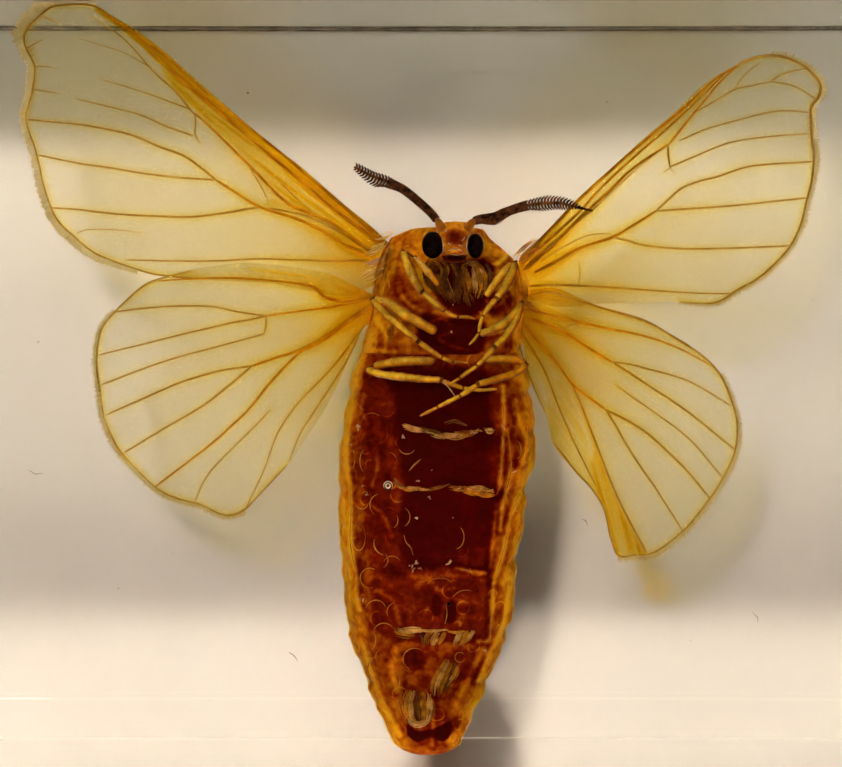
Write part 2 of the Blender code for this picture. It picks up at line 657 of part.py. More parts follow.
def make_moth():
    pieces = [
        body_piece("abdomen", ABDOMEN, MAROON, ABDOMEN_TIP, creases=ABDOMEN_CREASES,
                   side_fold=SIDE_FOLD_SHARE),
        body_piece("thorax", THORAX, CHESTNUT, 0.0),
        make_head(),
    ]
    pieces += [make_wing(name, wing) for name, wing in WINGS.items()]
    pieces += [make_leg(name, leg) for name, leg in LEGS.items()]
    pieces += [make_antenna(name, points) for name, points in ANTENNAE.items()]
    moth = bpy.data.objects.new("moth", None)
    bpy.context.collection.objects.link(moth)
    for piece in pieces:
        piece.parent = moth


clear_scene()
make_block()
make_moth()
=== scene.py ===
import math
import random

import bpy
import numpy as np
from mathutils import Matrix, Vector, noise
from mathutils.bvhtree import BVHTree
from mathutils.kdtree import KDTree


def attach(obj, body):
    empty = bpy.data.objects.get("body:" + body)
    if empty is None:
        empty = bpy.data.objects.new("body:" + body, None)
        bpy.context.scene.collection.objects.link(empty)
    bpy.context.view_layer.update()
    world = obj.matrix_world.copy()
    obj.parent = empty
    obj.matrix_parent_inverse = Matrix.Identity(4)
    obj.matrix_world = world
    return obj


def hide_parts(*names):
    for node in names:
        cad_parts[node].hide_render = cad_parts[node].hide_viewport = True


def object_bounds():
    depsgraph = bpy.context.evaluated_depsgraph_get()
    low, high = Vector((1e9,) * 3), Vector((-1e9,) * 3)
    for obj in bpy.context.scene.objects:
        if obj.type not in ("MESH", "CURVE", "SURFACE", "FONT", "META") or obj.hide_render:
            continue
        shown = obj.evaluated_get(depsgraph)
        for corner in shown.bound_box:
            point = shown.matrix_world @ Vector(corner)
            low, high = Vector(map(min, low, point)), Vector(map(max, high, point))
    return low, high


# A silk moth cast belly up in a clear block, seen from straight above.
# The tables give places as (x, y) in the picture's 842 x 767 frame, so that they can be
# laid over it. place() brings such a spot to a height in the block, through the bend of
# the block's top face. Heights, widths and lengths are real, in millimetres.

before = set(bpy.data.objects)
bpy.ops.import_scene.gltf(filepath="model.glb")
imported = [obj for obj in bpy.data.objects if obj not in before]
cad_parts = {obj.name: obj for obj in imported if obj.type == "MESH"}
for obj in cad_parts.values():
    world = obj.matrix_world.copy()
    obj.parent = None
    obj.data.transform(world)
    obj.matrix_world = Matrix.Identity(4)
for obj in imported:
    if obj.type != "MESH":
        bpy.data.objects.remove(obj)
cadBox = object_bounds()
mm = 0.001

picture = {"width": 842, "height": 767, "lens": 70.58, "film": 36.0, "cameraHeight": 100.0}
blockTop = cadBox[1].z / mm
resinIndex = 1.5
pixelsAcrossLens = picture["width"] * picture["lens"] / picture["film"]


def pixelSize(height):
    # how many mm one pixel covers at this height in the block
    reach = picture["cameraHeight"] - blockTop + (blockTop - height) / resinIndex
    return reach / pixelsAcrossLens


def place(x, y, height):
    # the spot in the block that shows up at a place in the picture
    size = pixelSize(height)
    across = (x - picture["width"] / 2) * size
    along = (picture["height"] / 2 - y) * size
    return Vector((across, along, height)) * mm


def inPicture(spots):
    # where points (in mm) show up in the picture
    size = np.array([pixelSize(height) for height in spots[:, 2]])
    return np.stack([spots[:, 0] / size + picture["width"] / 2,
                     picture["height"] / 2 - spots[:, 1] / size], axis=1)


def makeCamera():
    camera = bpy.data.cameras.new("camera")
    camera.lens = picture["lens"]
    camera.sensor_width = picture["film"]
    camera.clip_start = mm
    holder = bpy.data.objects.new("camera", camera)
    holder.location = (0, 0, picture["cameraHeight"] * mm)
    bpy.context.scene.collection.objects.link(holder)
    bpy.context.scene.camera = holder


# Lines and outlines

def smoothLine(points, step):
    # a smooth line through the points, with a point about every step
    points = [Vector(point) for point in points]
    line = []
    for index in range(len(points) - 1):
        start, end = points[index], points[index + 1]
        before = points[index - 1] if index else start * 2 - end
        after = points[index + 2] if index + 2 < len(points) else end * 2 - start
        count = max(1, round((end - start).length / step))
        for number in range(count):
            t = number / count
            line.append(0.5 * (2 * start + (end - before) * t
                               + (2 * before - 5 * start + 4 * end - after) * t ** 2
                               + (3 * start - before - 3 * end + after) * t ** 3))
    line.append(points[-1])
    return line


def smoothLoop(outline, step):
    # the same for a closed outline
    return [tuple(point) for point in smoothLine(outline + outline[:1], step)]


def evenPoints(points, count):
    # count points spaced evenly along a smooth line through the given ones
    fine = np.array([tuple(point) for point in smoothLine(points, 1.0)])
    steps = np.linalg.norm(np.diff(fine, axis=0), axis=1)
    travelled = np.concatenate(([0], np.cumsum(steps)))
    wanted = np.linspace(0, travelled[-1], count)
    columns = [np.interp(wanted, travelled, fine[:, axis]) for axis in range(fine.shape[1])]
    return np.stack(columns, axis=1)


def distanceToLine(spots, line):
    # distance of each spot from a line, and how far along it the nearest place lies (0 to 1)
    line = np.array([tuple(point) for point in line])
    best = np.full(len(spots), np.inf)
    share = np.zeros(len(spots))
    for index in range(len(line) - 1):
        start, run = line[index], line[index + 1] - line[index]
        t = np.clip(((spots - start) @ run) / max(run @ run, 1e-12), 0, 1)
        gap = np.linalg.norm(spots - start - t[:, None] * run, axis=1)
        nearer = gap < best
        best[nearer] = gap[nearer]
        share[nearer] = (index + t[nearer]) / (len(line) - 1)
    return best, share


def insideOutline(spots, outline):
    hit = np.zeros(len(spots), bool)
    for index, corner in enumerate(outline):
        other = outline[index - 1]
        crosses = (corner[1] > spots[:, 1]) != (other[1] > spots[:, 1])
        slope = (other[0] - corner[0]) / ((other[1] - corner[1]) or 1e-9)
        hit ^= crosses & (spots[:, 0] < corner[0] + slope * (spots[:, 1] - corner[1]))
    return hit


def taper(count, start, end):
    return [start + (end - start) * (index / (count - 1)) for index in range(count)]


def widthAt(share, start, middle, end):
    # a width that goes from start through middle to end
    if share < 0.5:
        return start + (middle - start) * share * 2
    return middle + (end - middle) * (share * 2 - 1)


# Pieces

def clearSelection():
    bpy.ops.object.select_all(action="DESELECT")


def corners(piece):
    # the piece's points as an array that can be changed and put back with setCorners
    spots = np.empty(len(piece.data.vertices) * 3)
    piece.data.vertices.foreach_get("co", spots)
    return spots.reshape(-1, 3)


def setCorners(piece, spots):
    piece.data.vertices.foreach_set("co", np.asarray(spots, float).ravel())
    piece.data.update()


def setValues(piece, name, values):
    layer = piece.data.attributes.new(name, "FLOAT", "POINT")
    layer.data.foreach_set("value", np.asarray(values, np.float32))


def settle(piece, name, slot, nodes, *materials):
    # names a finished piece, gives it its finish, hangs it under the root and hides the parts it stands for
    piece.name = name
    piece.data.name = name
    piece.data.materials.clear()
    for material in materials:
        piece.data.materials.append(material)
    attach(piece, "root")
    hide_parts(*nodes)
    return piece


def strands(lines, sides=1):
    # tapering strands as one mesh: each is (points in metres, radii in mm), or None for a miss
    clearSelection()
    bpy.ops.curve.primitive_bezier_curve_add()
    piece = bpy.context.object
    curve = piece.data
    curve.splines.clear()
    curve.dimensions = "3D"
    curve.bevel_depth = mm
    curve.bevel_resolution = sides
    curve.use_fill_caps = True
    for points, radii in filter(None, lines):
        spline = curve.splines.new("POLY")
        spline.points.add(len(points) - 1)
        for spot, point, radius in zip(spline.points, points, radii):
            spot.co = (*point, 1)
            spot.radius = radius
    bpy.ops.object.convert(target="MESH")
    piece = bpy.context.object
    bpy.ops.object.shade_smooth()
    return piece


def makeBall(segments, rings, radius=1.0, middle=(0, 0, 0)):
    # a round ball, with the radius and the middle in metres
    clearSelection()
    bpy.ops.mesh.primitive_uv_sphere_add(segments=segments, ring_count=rings, radius=radius,
                                         location=middle)
    bpy.ops.object.transform_apply(location=True, rotation=False, scale=False)
    bpy.ops.object.shade_smooth()
    return bpy.context.object


def makeSheet(alongCells, acrossCells):
    # a flat grid, and how far along and across it each of its points lies (0 to 1)
    clearSelection()
    bpy.ops.mesh.primitive_grid_add(x_subdivisions=alongCells, y_subdivisions=acrossCells, size=1)
    piece = bpy.context.object
    flat = corners(piece)
    return piece, flat[:, 0] + 0.5, flat[:, 1] + 0.5


def faceOutward(mergeWithin=0.0):
    # turns the present piece's faces outward, once points closer than mergeWithin mm are merged
    bpy.ops.object.mode_set(mode="EDIT")
    bpy.ops.mesh.select_all(action="SELECT")
    if mergeWithin:
        bpy.ops.mesh.remove_doubles(threshold=mergeWithin * mm)
    bpy.ops.mesh.normals_make_consistent(inside=False)
    bpy.ops.object.mode_set(mode="OBJECT")


def thicken(piece, thickness):
    wall = piece.modifiers.new("wall", "SOLIDIFY")
    wall.thickness = thickness * mm
    wall.offset = 0
    bpy.ops.object.modifier_apply(modifier=wall.name)


# Finishes

def addNode(tree, kind, values=None):
    # a node, with the values of its sockets by name or number
    node = tree.nodes.new(kind)
    for socket, value in (values or {}).items():
        node.inputs[socket].default_value = value
    return node


def addMath(tree, operation):
    node = tree.nodes.new("ShaderNodeMath")
    node.operation = operation
    return node


def addMix(tree, blendType):
    # blends two colours: sockets 6 and 7 in, 2 out
    node = tree.nodes.new("ShaderNodeMix")
    node.data_type = "RGBA"
    node.blend_type = blendType
    return node


def join(tree, *links):
    # each link is (node, its output, next node, its input)
    for node, output, following, socket in links:
        tree.links.new(node.outputs[output], following.inputs[socket])


def newGroup(name, inputs, outputs):
    # a shared effect: its inputs are (name, kind, value), its outputs (name, kind)
    group = bpy.data.node_groups.new(name, "ShaderNodeTree")
    for label, kind, value in inputs:
        socket = group.interface.new_socket(label, in_out="INPUT", socket_type="NodeSocket" + kind)
        if value is not None:
            socket.default_value = value
    for label, kind in outputs:
        group.interface.new_socket(label, in_out="OUTPUT", socket_type="NodeSocket" + kind)
    return group, addNode(group, "NodeGroupInput"), addNode(group, "NodeGroupOutput")


def makeMottle():
    # soft patches between a dark and a light colour, for wings, skin, legs and antennae
    group, start, end = newGroup(
        "mottle",
        [("Vector", "Vector", None), ("Scale", "Float", 1000.0), ("Dark", "Color", (0, 0, 0, 1)),
         ("Light", "Color", (1, 1, 1, 1))],
        [("Color", "Color"), ("Height", "Float")])
    patches = addNode(group, "ShaderNodeTexNoise", {"Detail": 5.0, "Roughness": 0.6})
    spread = addNode(group, "ShaderNodeMapRange", {"From Min": 0.35, "From Max": 0.65})
    blend = addMix(group, "MIX")
    join(group, (start, "Vector", patches, "Vector"), (start, "Scale", patches, "Scale"),
         (patches, "Fac", spread, "Value"), (spread, "Result", blend, "Factor"),
         (start, "Dark", blend, 6), (start, "Light", blend, 7),
         (blend, 2, end, "Color"), (spread, "Result", end, "Height"))
    return group


mottle = makeMottle()


def addPatches(tree, scale, dark=(0, 0, 0), light=(1, 1, 1)):
    # the soft patches, fixed to the piece
    patches = tree.nodes.new("ShaderNodeGroup")
    patches.node_tree = mottle
    patches.inputs["Scale"].default_value = scale
    patches.inputs["Dark"].default_value = (*dark, 1)
    patches.inputs["Light"].default_value = (*light, 1)
    join(tree, (addNode(tree, "ShaderNodeTexCoord"), "Object", patches, "Vector"))
    return patches


def shaderOf(material):
    return material.node_tree.nodes["Principled BSDF"]


def newFinish(name, values):
    material = bpy.data.materials.new(name)
    material.use_nodes = True
    for socket, value in values.items():
        shaderOf(material).inputs[socket].default_value = value
    return material


def addMottle(material, dark, light, scale):
    # patches as the base colour
    tree = material.node_tree
    join(tree, (addPatches(tree, scale, dark, light), "Color", shaderOf(material), "Base Color"))


def mottledFinish(name, roughness, gleam, dark, light, scale, alpha=1.0):
    # an uneven finish between a dark and a light colour
    material = newFinish(name, {"Roughness": roughness, "Specular IOR Level": gleam, "Alpha": alpha})
    addMottle(material, dark, light, scale)
    return material


def addShading(material, ramp, scale, dark):
    # the ramp's colour as the base colour, darker in patches
    tree = material.node_tree
    patches = addPatches(tree, scale, dark)
    blend = addMix(tree, "MULTIPLY")
    blend.inputs["Factor"].default_value = 1.0
    join(tree, (ramp, "Color", blend, 6), (patches, "Color", blend, 7),
         (blend, 2, shaderOf(material), "Base Color"))
    return patches


def addRelief(material, source, output, strength, depth):
    # a relief of depth mm that follows one of a node's outputs
    tree = material.node_tree
    relief = addNode(tree, "ShaderNodeBump", {"Strength": strength, "Distance": depth * mm})
    join(tree, (source, output, relief, "Height"), (relief, "Normal", shaderOf(material), "Normal"))


def fillRamp(ramp, stops):
    # gives a colour ramp its stops of (position, colour)
    elements = ramp.color_ramp.elements
    while len(elements) < len(stops):
        elements.new(0.5)
    for element, (position, colour) in zip(elements, stops):
        element.position = position
        element.color = (*colour, 1)


def blendByValue(material, attribute, stops):
    # a colour that follows one of the piece's own values
    tree = material.node_tree
    value = tree.nodes.new("ShaderNodeAttribute")
    value.attribute_name = attribute
    ramp = tree.nodes.new("ShaderNodeValToRGB")
    fillRamp(ramp, stops)
    join(tree, (value, "Fac", ramp, "Fac"))
    return ramp


# The clear block

blockShape = {"edgeRound": 0.4, "edgeSteps": 4, "footBand": 0.1, "pourLine": 9.6, "seamWidth": 0.10,
              "seamDepth": 0.02, "smoothAngle": 30, "largestSmooth": 1e-4, "upright": 0.3}
# the dark line along the far foot edge is painted shade
footShadeShape = {"points": 140, "thin": 0.03, "thick": 0.075, "unevenness": (0.85, 1.1),
             "waves": 0.25, "waveSeed": 7.0, "endGap": 0.01, "wallGap": 0.015, "floorGap": 0.01,
             "cornerGap": 0.052, "cornerRadius": 0.045}


def makeBlock():
    low, high = cadBox
    clearSelection()
    bpy.ops.mesh.primitive_cube_add(size=1, location=(low + high) / 2)
    block = bpy.context.object
    block.scale = high - low
    bpy.ops.object.transform_apply(location=True, rotation=False, scale=True)
    bpy.ops.object.mode_set(mode="EDIT")
    bpy.ops.mesh.select_mode(type="EDGE")
    bpy.ops.mesh.select_all(action="DESELECT")
    bpy.ops.object.mode_set(mode="OBJECT")
    for edge in block.data.edges:  # the foot keeps its sharp edges
        ends = [block.data.vertices[index].co.z for index in edge.vertices]
        edge.select = max(ends) > low.z + blockShape["footBand"] * mm
    bpy.ops.object.mode_set(mode="EDIT")
    bpy.ops.mesh.bevel(offset=blockShape["edgeRound"] * mm, segments=blockShape["edgeSteps"],
                       affect="EDGES")
    bpy.ops.mesh.select_mode(type="VERT")
    seam = blockShape["pourLine"] * mm
    half = blockShape["seamWidth"] / 2 * mm
    for height in (seam - half, seam, seam + half):  # the seam where the two pours meet
        bpy.ops.mesh.select_all(action="SELECT")
        bpy.ops.mesh.bisect(plane_co=(0, 0, height), plane_no=(0, 0, 1))
    bpy.ops.object.mode_set(mode="OBJECT")
    spots = corners(block)
    onSeam = np.abs(spots[:, 2] - seam) < half / 2
    for axis in (0, 1):
        spots[onSeam, axis] *= 1 - blockShape["seamDepth"] * mm / high[axis]
    setCorners(block, spots)
    bpy.ops.object.shade_smooth_by_angle(angle=math.radians(blockShape["smoothAngle"]))
    for face in block.data.polygons:  # only the rounded edges shade smoothly
        face.use_smooth = face.area < blockShape["largestSmooth"]
    settle(block, "clearBlock", "clear_resin", ["block_lower", "block_upper"],
           resinFinish("clear resin"), wallFinish())
    for face in block.data.polygons:
        nearWall = face.normal.y < -blockShape["upright"]  # this one is polished like the top
        face.material_index = int(abs(face.normal.z) < blockShape["upright"] and not nearWall)


def makeFootShadeLine():
    # painted shade: a dark line along the far foot edge, where the wall meets the floor in shadow
    dice = random.Random(3)
    thin, thick = footShadeShape["thin"], footShadeShape["thick"]
    ends = footShadeShape["endGap"]
    low, high = cadBox
    line, radii, corner = [], [], []
    for index in range(footShadeShape["points"]):
        share = ends + (1 - 2 * ends) * index / (footShadeShape["points"] - 1)
        across = low.x + (high.x - low.x) * share
        wave = noise.noise(Vector((across / mm * footShadeShape["waves"], footShadeShape["waveSeed"], 0.0)))
        line.append(Vector((across, high.y - (thick + footShadeShape["wallGap"]) * mm,
                            low.z + (thick + footShadeShape["floorGap"]) * mm)))
        radius = thin + (thick - thin) * (0.5 + 0.5 * wave)
        radii.append(radius * dice.uniform(*footShadeShape["unevenness"]))
        corner.append(Vector((across, high.y - footShadeShape["cornerGap"] * mm,
                              low.z + footShadeShape["cornerGap"] * mm)))
    footShadeLook = mottledFinish("foot shade line", 0.9, 0.1, (0.10, 0.08, 0.055), (0.30, 0.24, 0.17), 900.0)
    lines = [(line, radii), (corner, [footShadeShape["cornerRadius"]] * len(corner))]
    settle(strands(lines), "footShadeLine", "clear_resin", ["block_lower"], footShadeLook)


def resinFinish(name):
    # clear right through, and a little yellow where it is deep
    finish = newFinish(name, {
        "Base Color": (1, 1, 1, 1), "Roughness": 0.0, "IOR": resinIndex, "Transmission Weight": 1.0})
    tree = finish.node_tree
    loss = addNode(tree, "ShaderNodeVolumeAbsorption", {"Color": (0.93, 0.86, 0.55, 1), "Density": 4.0})
    join(tree, (loss, "Volume", tree.nodes["Material Output"], "Volume"))
    return finish


def wallFinish():
    # the far and side walls were sawn and buffed: hazy, with fine upright streaks
    finish = resinFinish("buffed wall")
    tree = finish.node_tree
    shaderOf(finish).inputs["Transmission Weight"].default_value = 0.82
    addMottle(finish, (0.72, 0.74, 0.80), (1.0, 1.0, 1.0), 1300.0)
    where = tree.nodes.new("ShaderNodeTexCoord")
    stretch = addNode(tree, "ShaderNodeMapping", {"Scale": (2600, 2600, 160)})
    streaks = addNode(tree, "ShaderNodeTexNoise", {"Scale": 1.0, "Detail": 3.0})
    join(tree, (where, "Object", stretch, "Vector"), (stretch, "Vector", streaks, "Vector"))
    addRelief(finish, streaks, "Fac", strength=0.25, depth=0.01)
    return finish


# The wings, over the picture: veins are (start radius, end radius, line), bands (depth of the
# amber, outline)

wings = {}
wings["forewingLeft"] = {
    "node": "forewing_left", "height": 9.4, "lift": 0.5, "root": (385, 238),
    "front": [(392, 246), (372, 227), (345, 205), (300, 166), (274, 147), (230, 109), (191, 75),
        (164, 51), (138, 31), (107, 13), (96, 7), (82, 4), (55, 6), (46, 10), (38, 17), (29, 25)],
    "back": [(392, 270), (368, 289), (345, 296), (300, 289), (268, 283), (230, 281), (191, 279),
        (159, 276), (138, 271), (112, 262), (92, 253), (75, 239), (56, 219), (44, 189), (36, 153),
        (26, 120), (30, 100), (35, 67), (27, 50), (23, 36), (29, 25)],
    "veins": [
        (.11, .07, [(388, 246), (345, 208), (300, 169), (230, 112), (191, 79), (164, 55), (107, 15)]),
        (.10, .06, [(383, 244), (340, 214), (300, 180), (262, 148), (222, 115), (190, 88), (150, 52)]),
        (.11, .06, [(372, 252), (330, 222), (289, 204), (249, 165), (205, 122), (193, 113)]),
        (.05, .03, [(362, 247), (335, 228), (310, 210), (280, 183)]),
        (.06, .03, [(193, 113), (176, 92), (153, 71), (125, 40), (92, 17)]),
        (.05, .04, [(195, 115), (196, 125), (195, 134), (200, 143)]),
        (.05, .03, [(193, 136), (165, 126), (140, 115), (105, 106), (76, 99)]),
        (.02, .04, [(62, 95), (48, 92), (34, 90)]),
        (.05, .02, [(189, 109), (165, 100), (145, 93), (120, 85), (99, 79)]),
        (.02, .04, [(58, 69), (46, 67), (34, 67)]),
        (.03, .01, [(153, 69), (137, 60), (122, 52), (76, 38)]),
        (.02, .05, [(44, 40), (34, 45), (26, 50)]),
        (.02, .05, [(61, 25), (51, 20), (43, 16)]),
        (.11, .07, [(368, 254), (345, 245), (330, 235), (300, 220), (260, 207), (235, 192), (216, 180)]),
        (.07, .05, [(358, 240), (340, 232), (318, 221), (300, 214), (268, 208)]),
        (.07, .05, [(216, 180), (200, 167), (184, 156), (160, 147), (134, 136), (110, 130), (82, 125),
            (52, 122), (27, 120)]),
        (.06, .05, [(216, 180), (182, 178), (147, 174), (110, 168), (76, 163), (38, 155)]),
        (.07, .05, [(260, 207), (225, 213), (191, 217), (150, 216), (115, 214), (80, 210), (51, 208)]),
        (.02, .03, [(143, 233), (115, 230), (86, 230), (76, 235)]),
        (.06, .04, [(365, 260), (335, 261), (300, 260), (258, 259), (215, 261), (172, 261), (125, 260)]),
        (.04, .03, [(250, 167), (256, 178), (264, 192), (268, 203)]),
    ],
    "margin": [(107, 13), (96, 7), (82, 5), (55, 7), (46, 12), (35, 22), (25, 36), (27, 50), (35, 67),
        (33, 92), (27, 120), (37, 153), (45, 189), (57, 219), (76, 238), (93, 252), (113, 261),
        (139, 270), (160, 275), (200, 279)],
    "marginRadius": (.07, .04),
    "fringeWidths": [(0, 6), (.08, 10), (.2, 12), (.28, 8), (.36, 5), (.5, 6), (.6, 6), (.8, 7), (1, 3)],
    "fringe": [(96, 7), (55, 6), (38, 17), (24, 36), (28, 50), (34, 67), (30, 100), (26, 120), (36, 153),
        (44, 189), (56, 219), (75, 239), (92, 253), (112, 262), (138, 271)],
    "bands": [
        (.74, [(392, 246), (345, 205), (300, 166), (230, 109), (164, 51), (107, 12), (95, 12), (130, 38),
            (160, 65), (190, 92), (232, 124), (262, 152), (300, 188), (345, 224), (375, 252)]),
        (.48, [(380, 245), (351, 217), (306, 181), (268, 145), (238, 117), (196, 85), (156, 51),
            (165, 82), (193, 113), (215, 135), (249, 168), (289, 208), (330, 230), (365, 256)]),
        (.35, [(370, 250), (335, 224), (294, 201), (274, 194), (262, 207), (300, 222), (330, 238),
            (350, 250)]),
    ],
}
wings["forewingRight"] = {
    "node": "forewing_right", "height": 9.4, "lift": 1.0, "root": (522, 262),
    "front": [(514, 266), (530, 248), (550, 228), (576, 200), (609, 170), (642, 140), (674, 113),
        (696, 91), (718, 75), (740, 63), (755, 57), (770, 55), (788, 58), (805, 66), (818, 79), (821, 88)],
    "back": [(512, 290), (527, 298), (549, 306), (575, 307), (594, 304), (640, 303), (679, 302),
        (714, 304), (738, 291), (762, 277), (788, 250), (801, 226), (807, 201), (812, 182), (814, 158),
        (811, 140), (810, 117), (813, 105), (820, 98), (821, 88)],
    "veins": [
        (.11, .07, [(522, 258), (550, 230), (583, 196), (642, 143), (681, 110), (714, 80), (740, 65)]),
        (.09, .05, [(522, 264), (576, 215), (602, 187), (640, 152), (672, 124), (700, 98), (728, 70)]),
        (.12, .06, [(524, 270), (552, 246), (580, 218), (610, 190), (631, 170), (655, 153), (670, 143)]),
        (.08, .05, [(670, 143), (690, 118), (705, 100), (718, 84), (735, 68)]),
        (.05, .03, [(530, 262), (560, 236), (590, 212), (612, 192), (640, 166), (668, 144)]),
        (.07, .05, [(668, 145), (668, 155), (670, 168)]),
        (.04, .03, [(664, 172), (670, 168), (674, 174)]),
        (.05, .04, [(696, 112), (715, 101), (734, 90), (752, 86), (770, 82)]),
        (.05, .04, [(770, 82), (783, 74), (805, 69)]),
        (.04, .04, [(770, 82), (794, 87), (817, 101)]),
        (.04, .03, [(734, 90), (740, 80), (750, 70), (760, 63)]),
        (.05, .04, [(679, 141), (707, 129), (735, 121), (762, 114), (783, 111), (808, 113)]),
        (.05, .04, [(670, 167), (696, 156), (729, 143), (768, 137), (808, 134)]),
        (.11, .07, [(535, 272), (555, 262), (576, 250), (595, 243), (613, 237), (634, 225), (656, 211)]),
        (.05, .03, [(540, 262), (565, 246), (590, 235), (612, 234)]),
        (.06, .05, [(656, 211), (668, 200), (682, 188), (700, 181), (720, 176), (740, 169), (762, 165),
            (815, 162)]),
        (.06, .05, [(656, 211), (688, 209), (718, 207), (760, 203), (807, 198)]),
        (.06, .05, [(613, 237), (628, 241), (642, 245), (668, 248), (696, 249), (740, 248), (789, 246)]),
        (.07, .04, [(528, 286), (560, 285), (600, 287), (631, 289), (690, 293), (736, 294)]),
        (.03, .02, [(579, 262), (580, 275), (578, 286)]),
    ],
    "margin": [(738, 64), (755, 58), (770, 56), (788, 59), (804, 67), (817, 80), (820, 89), (817, 99),
        (811, 106), (810, 117), (811, 140), (813, 158), (811, 182), (806, 201), (800, 226), (787, 250),
        (761, 276), (737, 290), (714, 303), (679, 302)],
    "marginRadius": (.09, .05),
    "fringeWidths": [(0, 1.5), (.1, 3), (.3, 4), (.5, 3), (.8, 2), (1, 1)],
    "fringe": [(770, 55), (788, 58), (805, 66), (818, 79), (822, 88), (820, 98), (812, 108), (812, 130),
        (815, 158), (812, 182), (807, 201), (801, 226), (788, 250), (762, 277), (738, 291), (714, 304),
        (679, 302)],
    "bands": [
        (.42, [(514, 266), (550, 228), (576, 200), (642, 140), (696, 91), (740, 63), (725, 78),
            (700, 102), (672, 128), (640, 156), (602, 191), (570, 222), (530, 262)]),
        (.25, [(525, 257), (565, 216), (597, 185), (635, 150), (667, 122), (695, 96), (717, 76),
            (705, 103), (690, 122), (672, 146), (655, 156), (625, 180), (590, 216), (556, 246),
            (524, 272)]),
    ],
}
wings["hindwingLeft"] = {
    "node": "hindwing_left", "height": 10.1, "lift": -0.5, "root": (367, 306),
    "front": [(388, 300), (367, 292), (330, 274), (300, 268), (254, 263), (230, 264), (191, 270),
        (160, 278), (143, 285), (126, 300), (115, 311), (103, 325), (98, 340), (96, 361), (99, 386)],
    "back": [(388, 330), (367, 325), (352, 352), (330, 400), (300, 448), (287, 466), (258, 497),
        (245, 511), (231, 516), (220, 515), (199, 505), (176, 499), (153, 487), (122, 455), (111, 437),
        (103, 416), (99, 386)],
    "veins": [
        (.10, .05, [(372, 298), (345, 301), (325, 297), (316, 288), (300, 284), (262, 280), (230, 278),
            (190, 279), (158, 281)]),
        (.08, .05, [(365, 300), (330, 307), (300, 311), (266, 316)]),
        (.05, .05, [(266, 316), (239, 312), (214, 307), (182, 306), (147, 308), (115, 312)]),
        (.06, .04, [(266, 316), (248, 320), (231, 323), (184, 334), (140, 345), (99, 355)]),
        (.05, .04, [(266, 316), (266, 326), (264, 334)]),
        (.04, .05, [(264, 334), (220, 346), (172, 359), (135, 372), (101, 385)]),
        (.11, .07, [(370, 306), (350, 319), (335, 330), (318, 341), (298, 351), (275, 358), (252, 366)]),
        (.06, .05, [(252, 366), (220, 371), (182, 382), (140, 400), (106, 415)]),
        (.06, .05, [(252, 366), (226, 388), (201, 407), (160, 431), (122, 454)]),
        (.08, .05, [(367, 310), (345, 324), (330, 336), (312, 347), (298, 354), (270, 383), (249, 409),
            (228, 429), (210, 445), (155, 487)]),
        (.04, .04, [(271, 409), (260, 421), (249, 432), (210, 472), (195, 501)]),
        (.06, .03, [(366, 322), (350, 345), (330, 370), (300, 401), (285, 421), (275, 439), (264, 470),
            (246, 508)]),
        (.05, .03, [(358, 338), (345, 364), (325, 395), (312, 415), (300, 434), (289, 462)]),
    ],
    "margin": [(191, 271), (160, 279), (144, 286), (127, 300), (116, 311), (104, 325), (99, 340),
        (97, 361), (100, 386), (104, 416), (112, 436), (123, 454), (154, 486), (176, 498), (199, 504),
        (220, 514), (231, 515), (244, 510), (258, 496), (287, 465)],
    "marginRadius": (.05, .04),
    "fringeWidths": [(0, 1.5), (.2, 3), (.5, 2.5), (.8, 2.5), (1, 1.5)],
    "fringe": [(115, 311), (103, 325), (98, 340), (96, 361), (99, 386), (103, 416), (111, 437),
        (122, 455), (153, 487), (176, 499), (199, 505), (220, 515), (231, 516), (245, 511)],
    "bands": [
        (.4, [(388, 296), (350, 284), (310, 272), (262, 266), (230, 268), (262, 276), (320, 286),
            (345, 298), (385, 306)]),
    ],
}
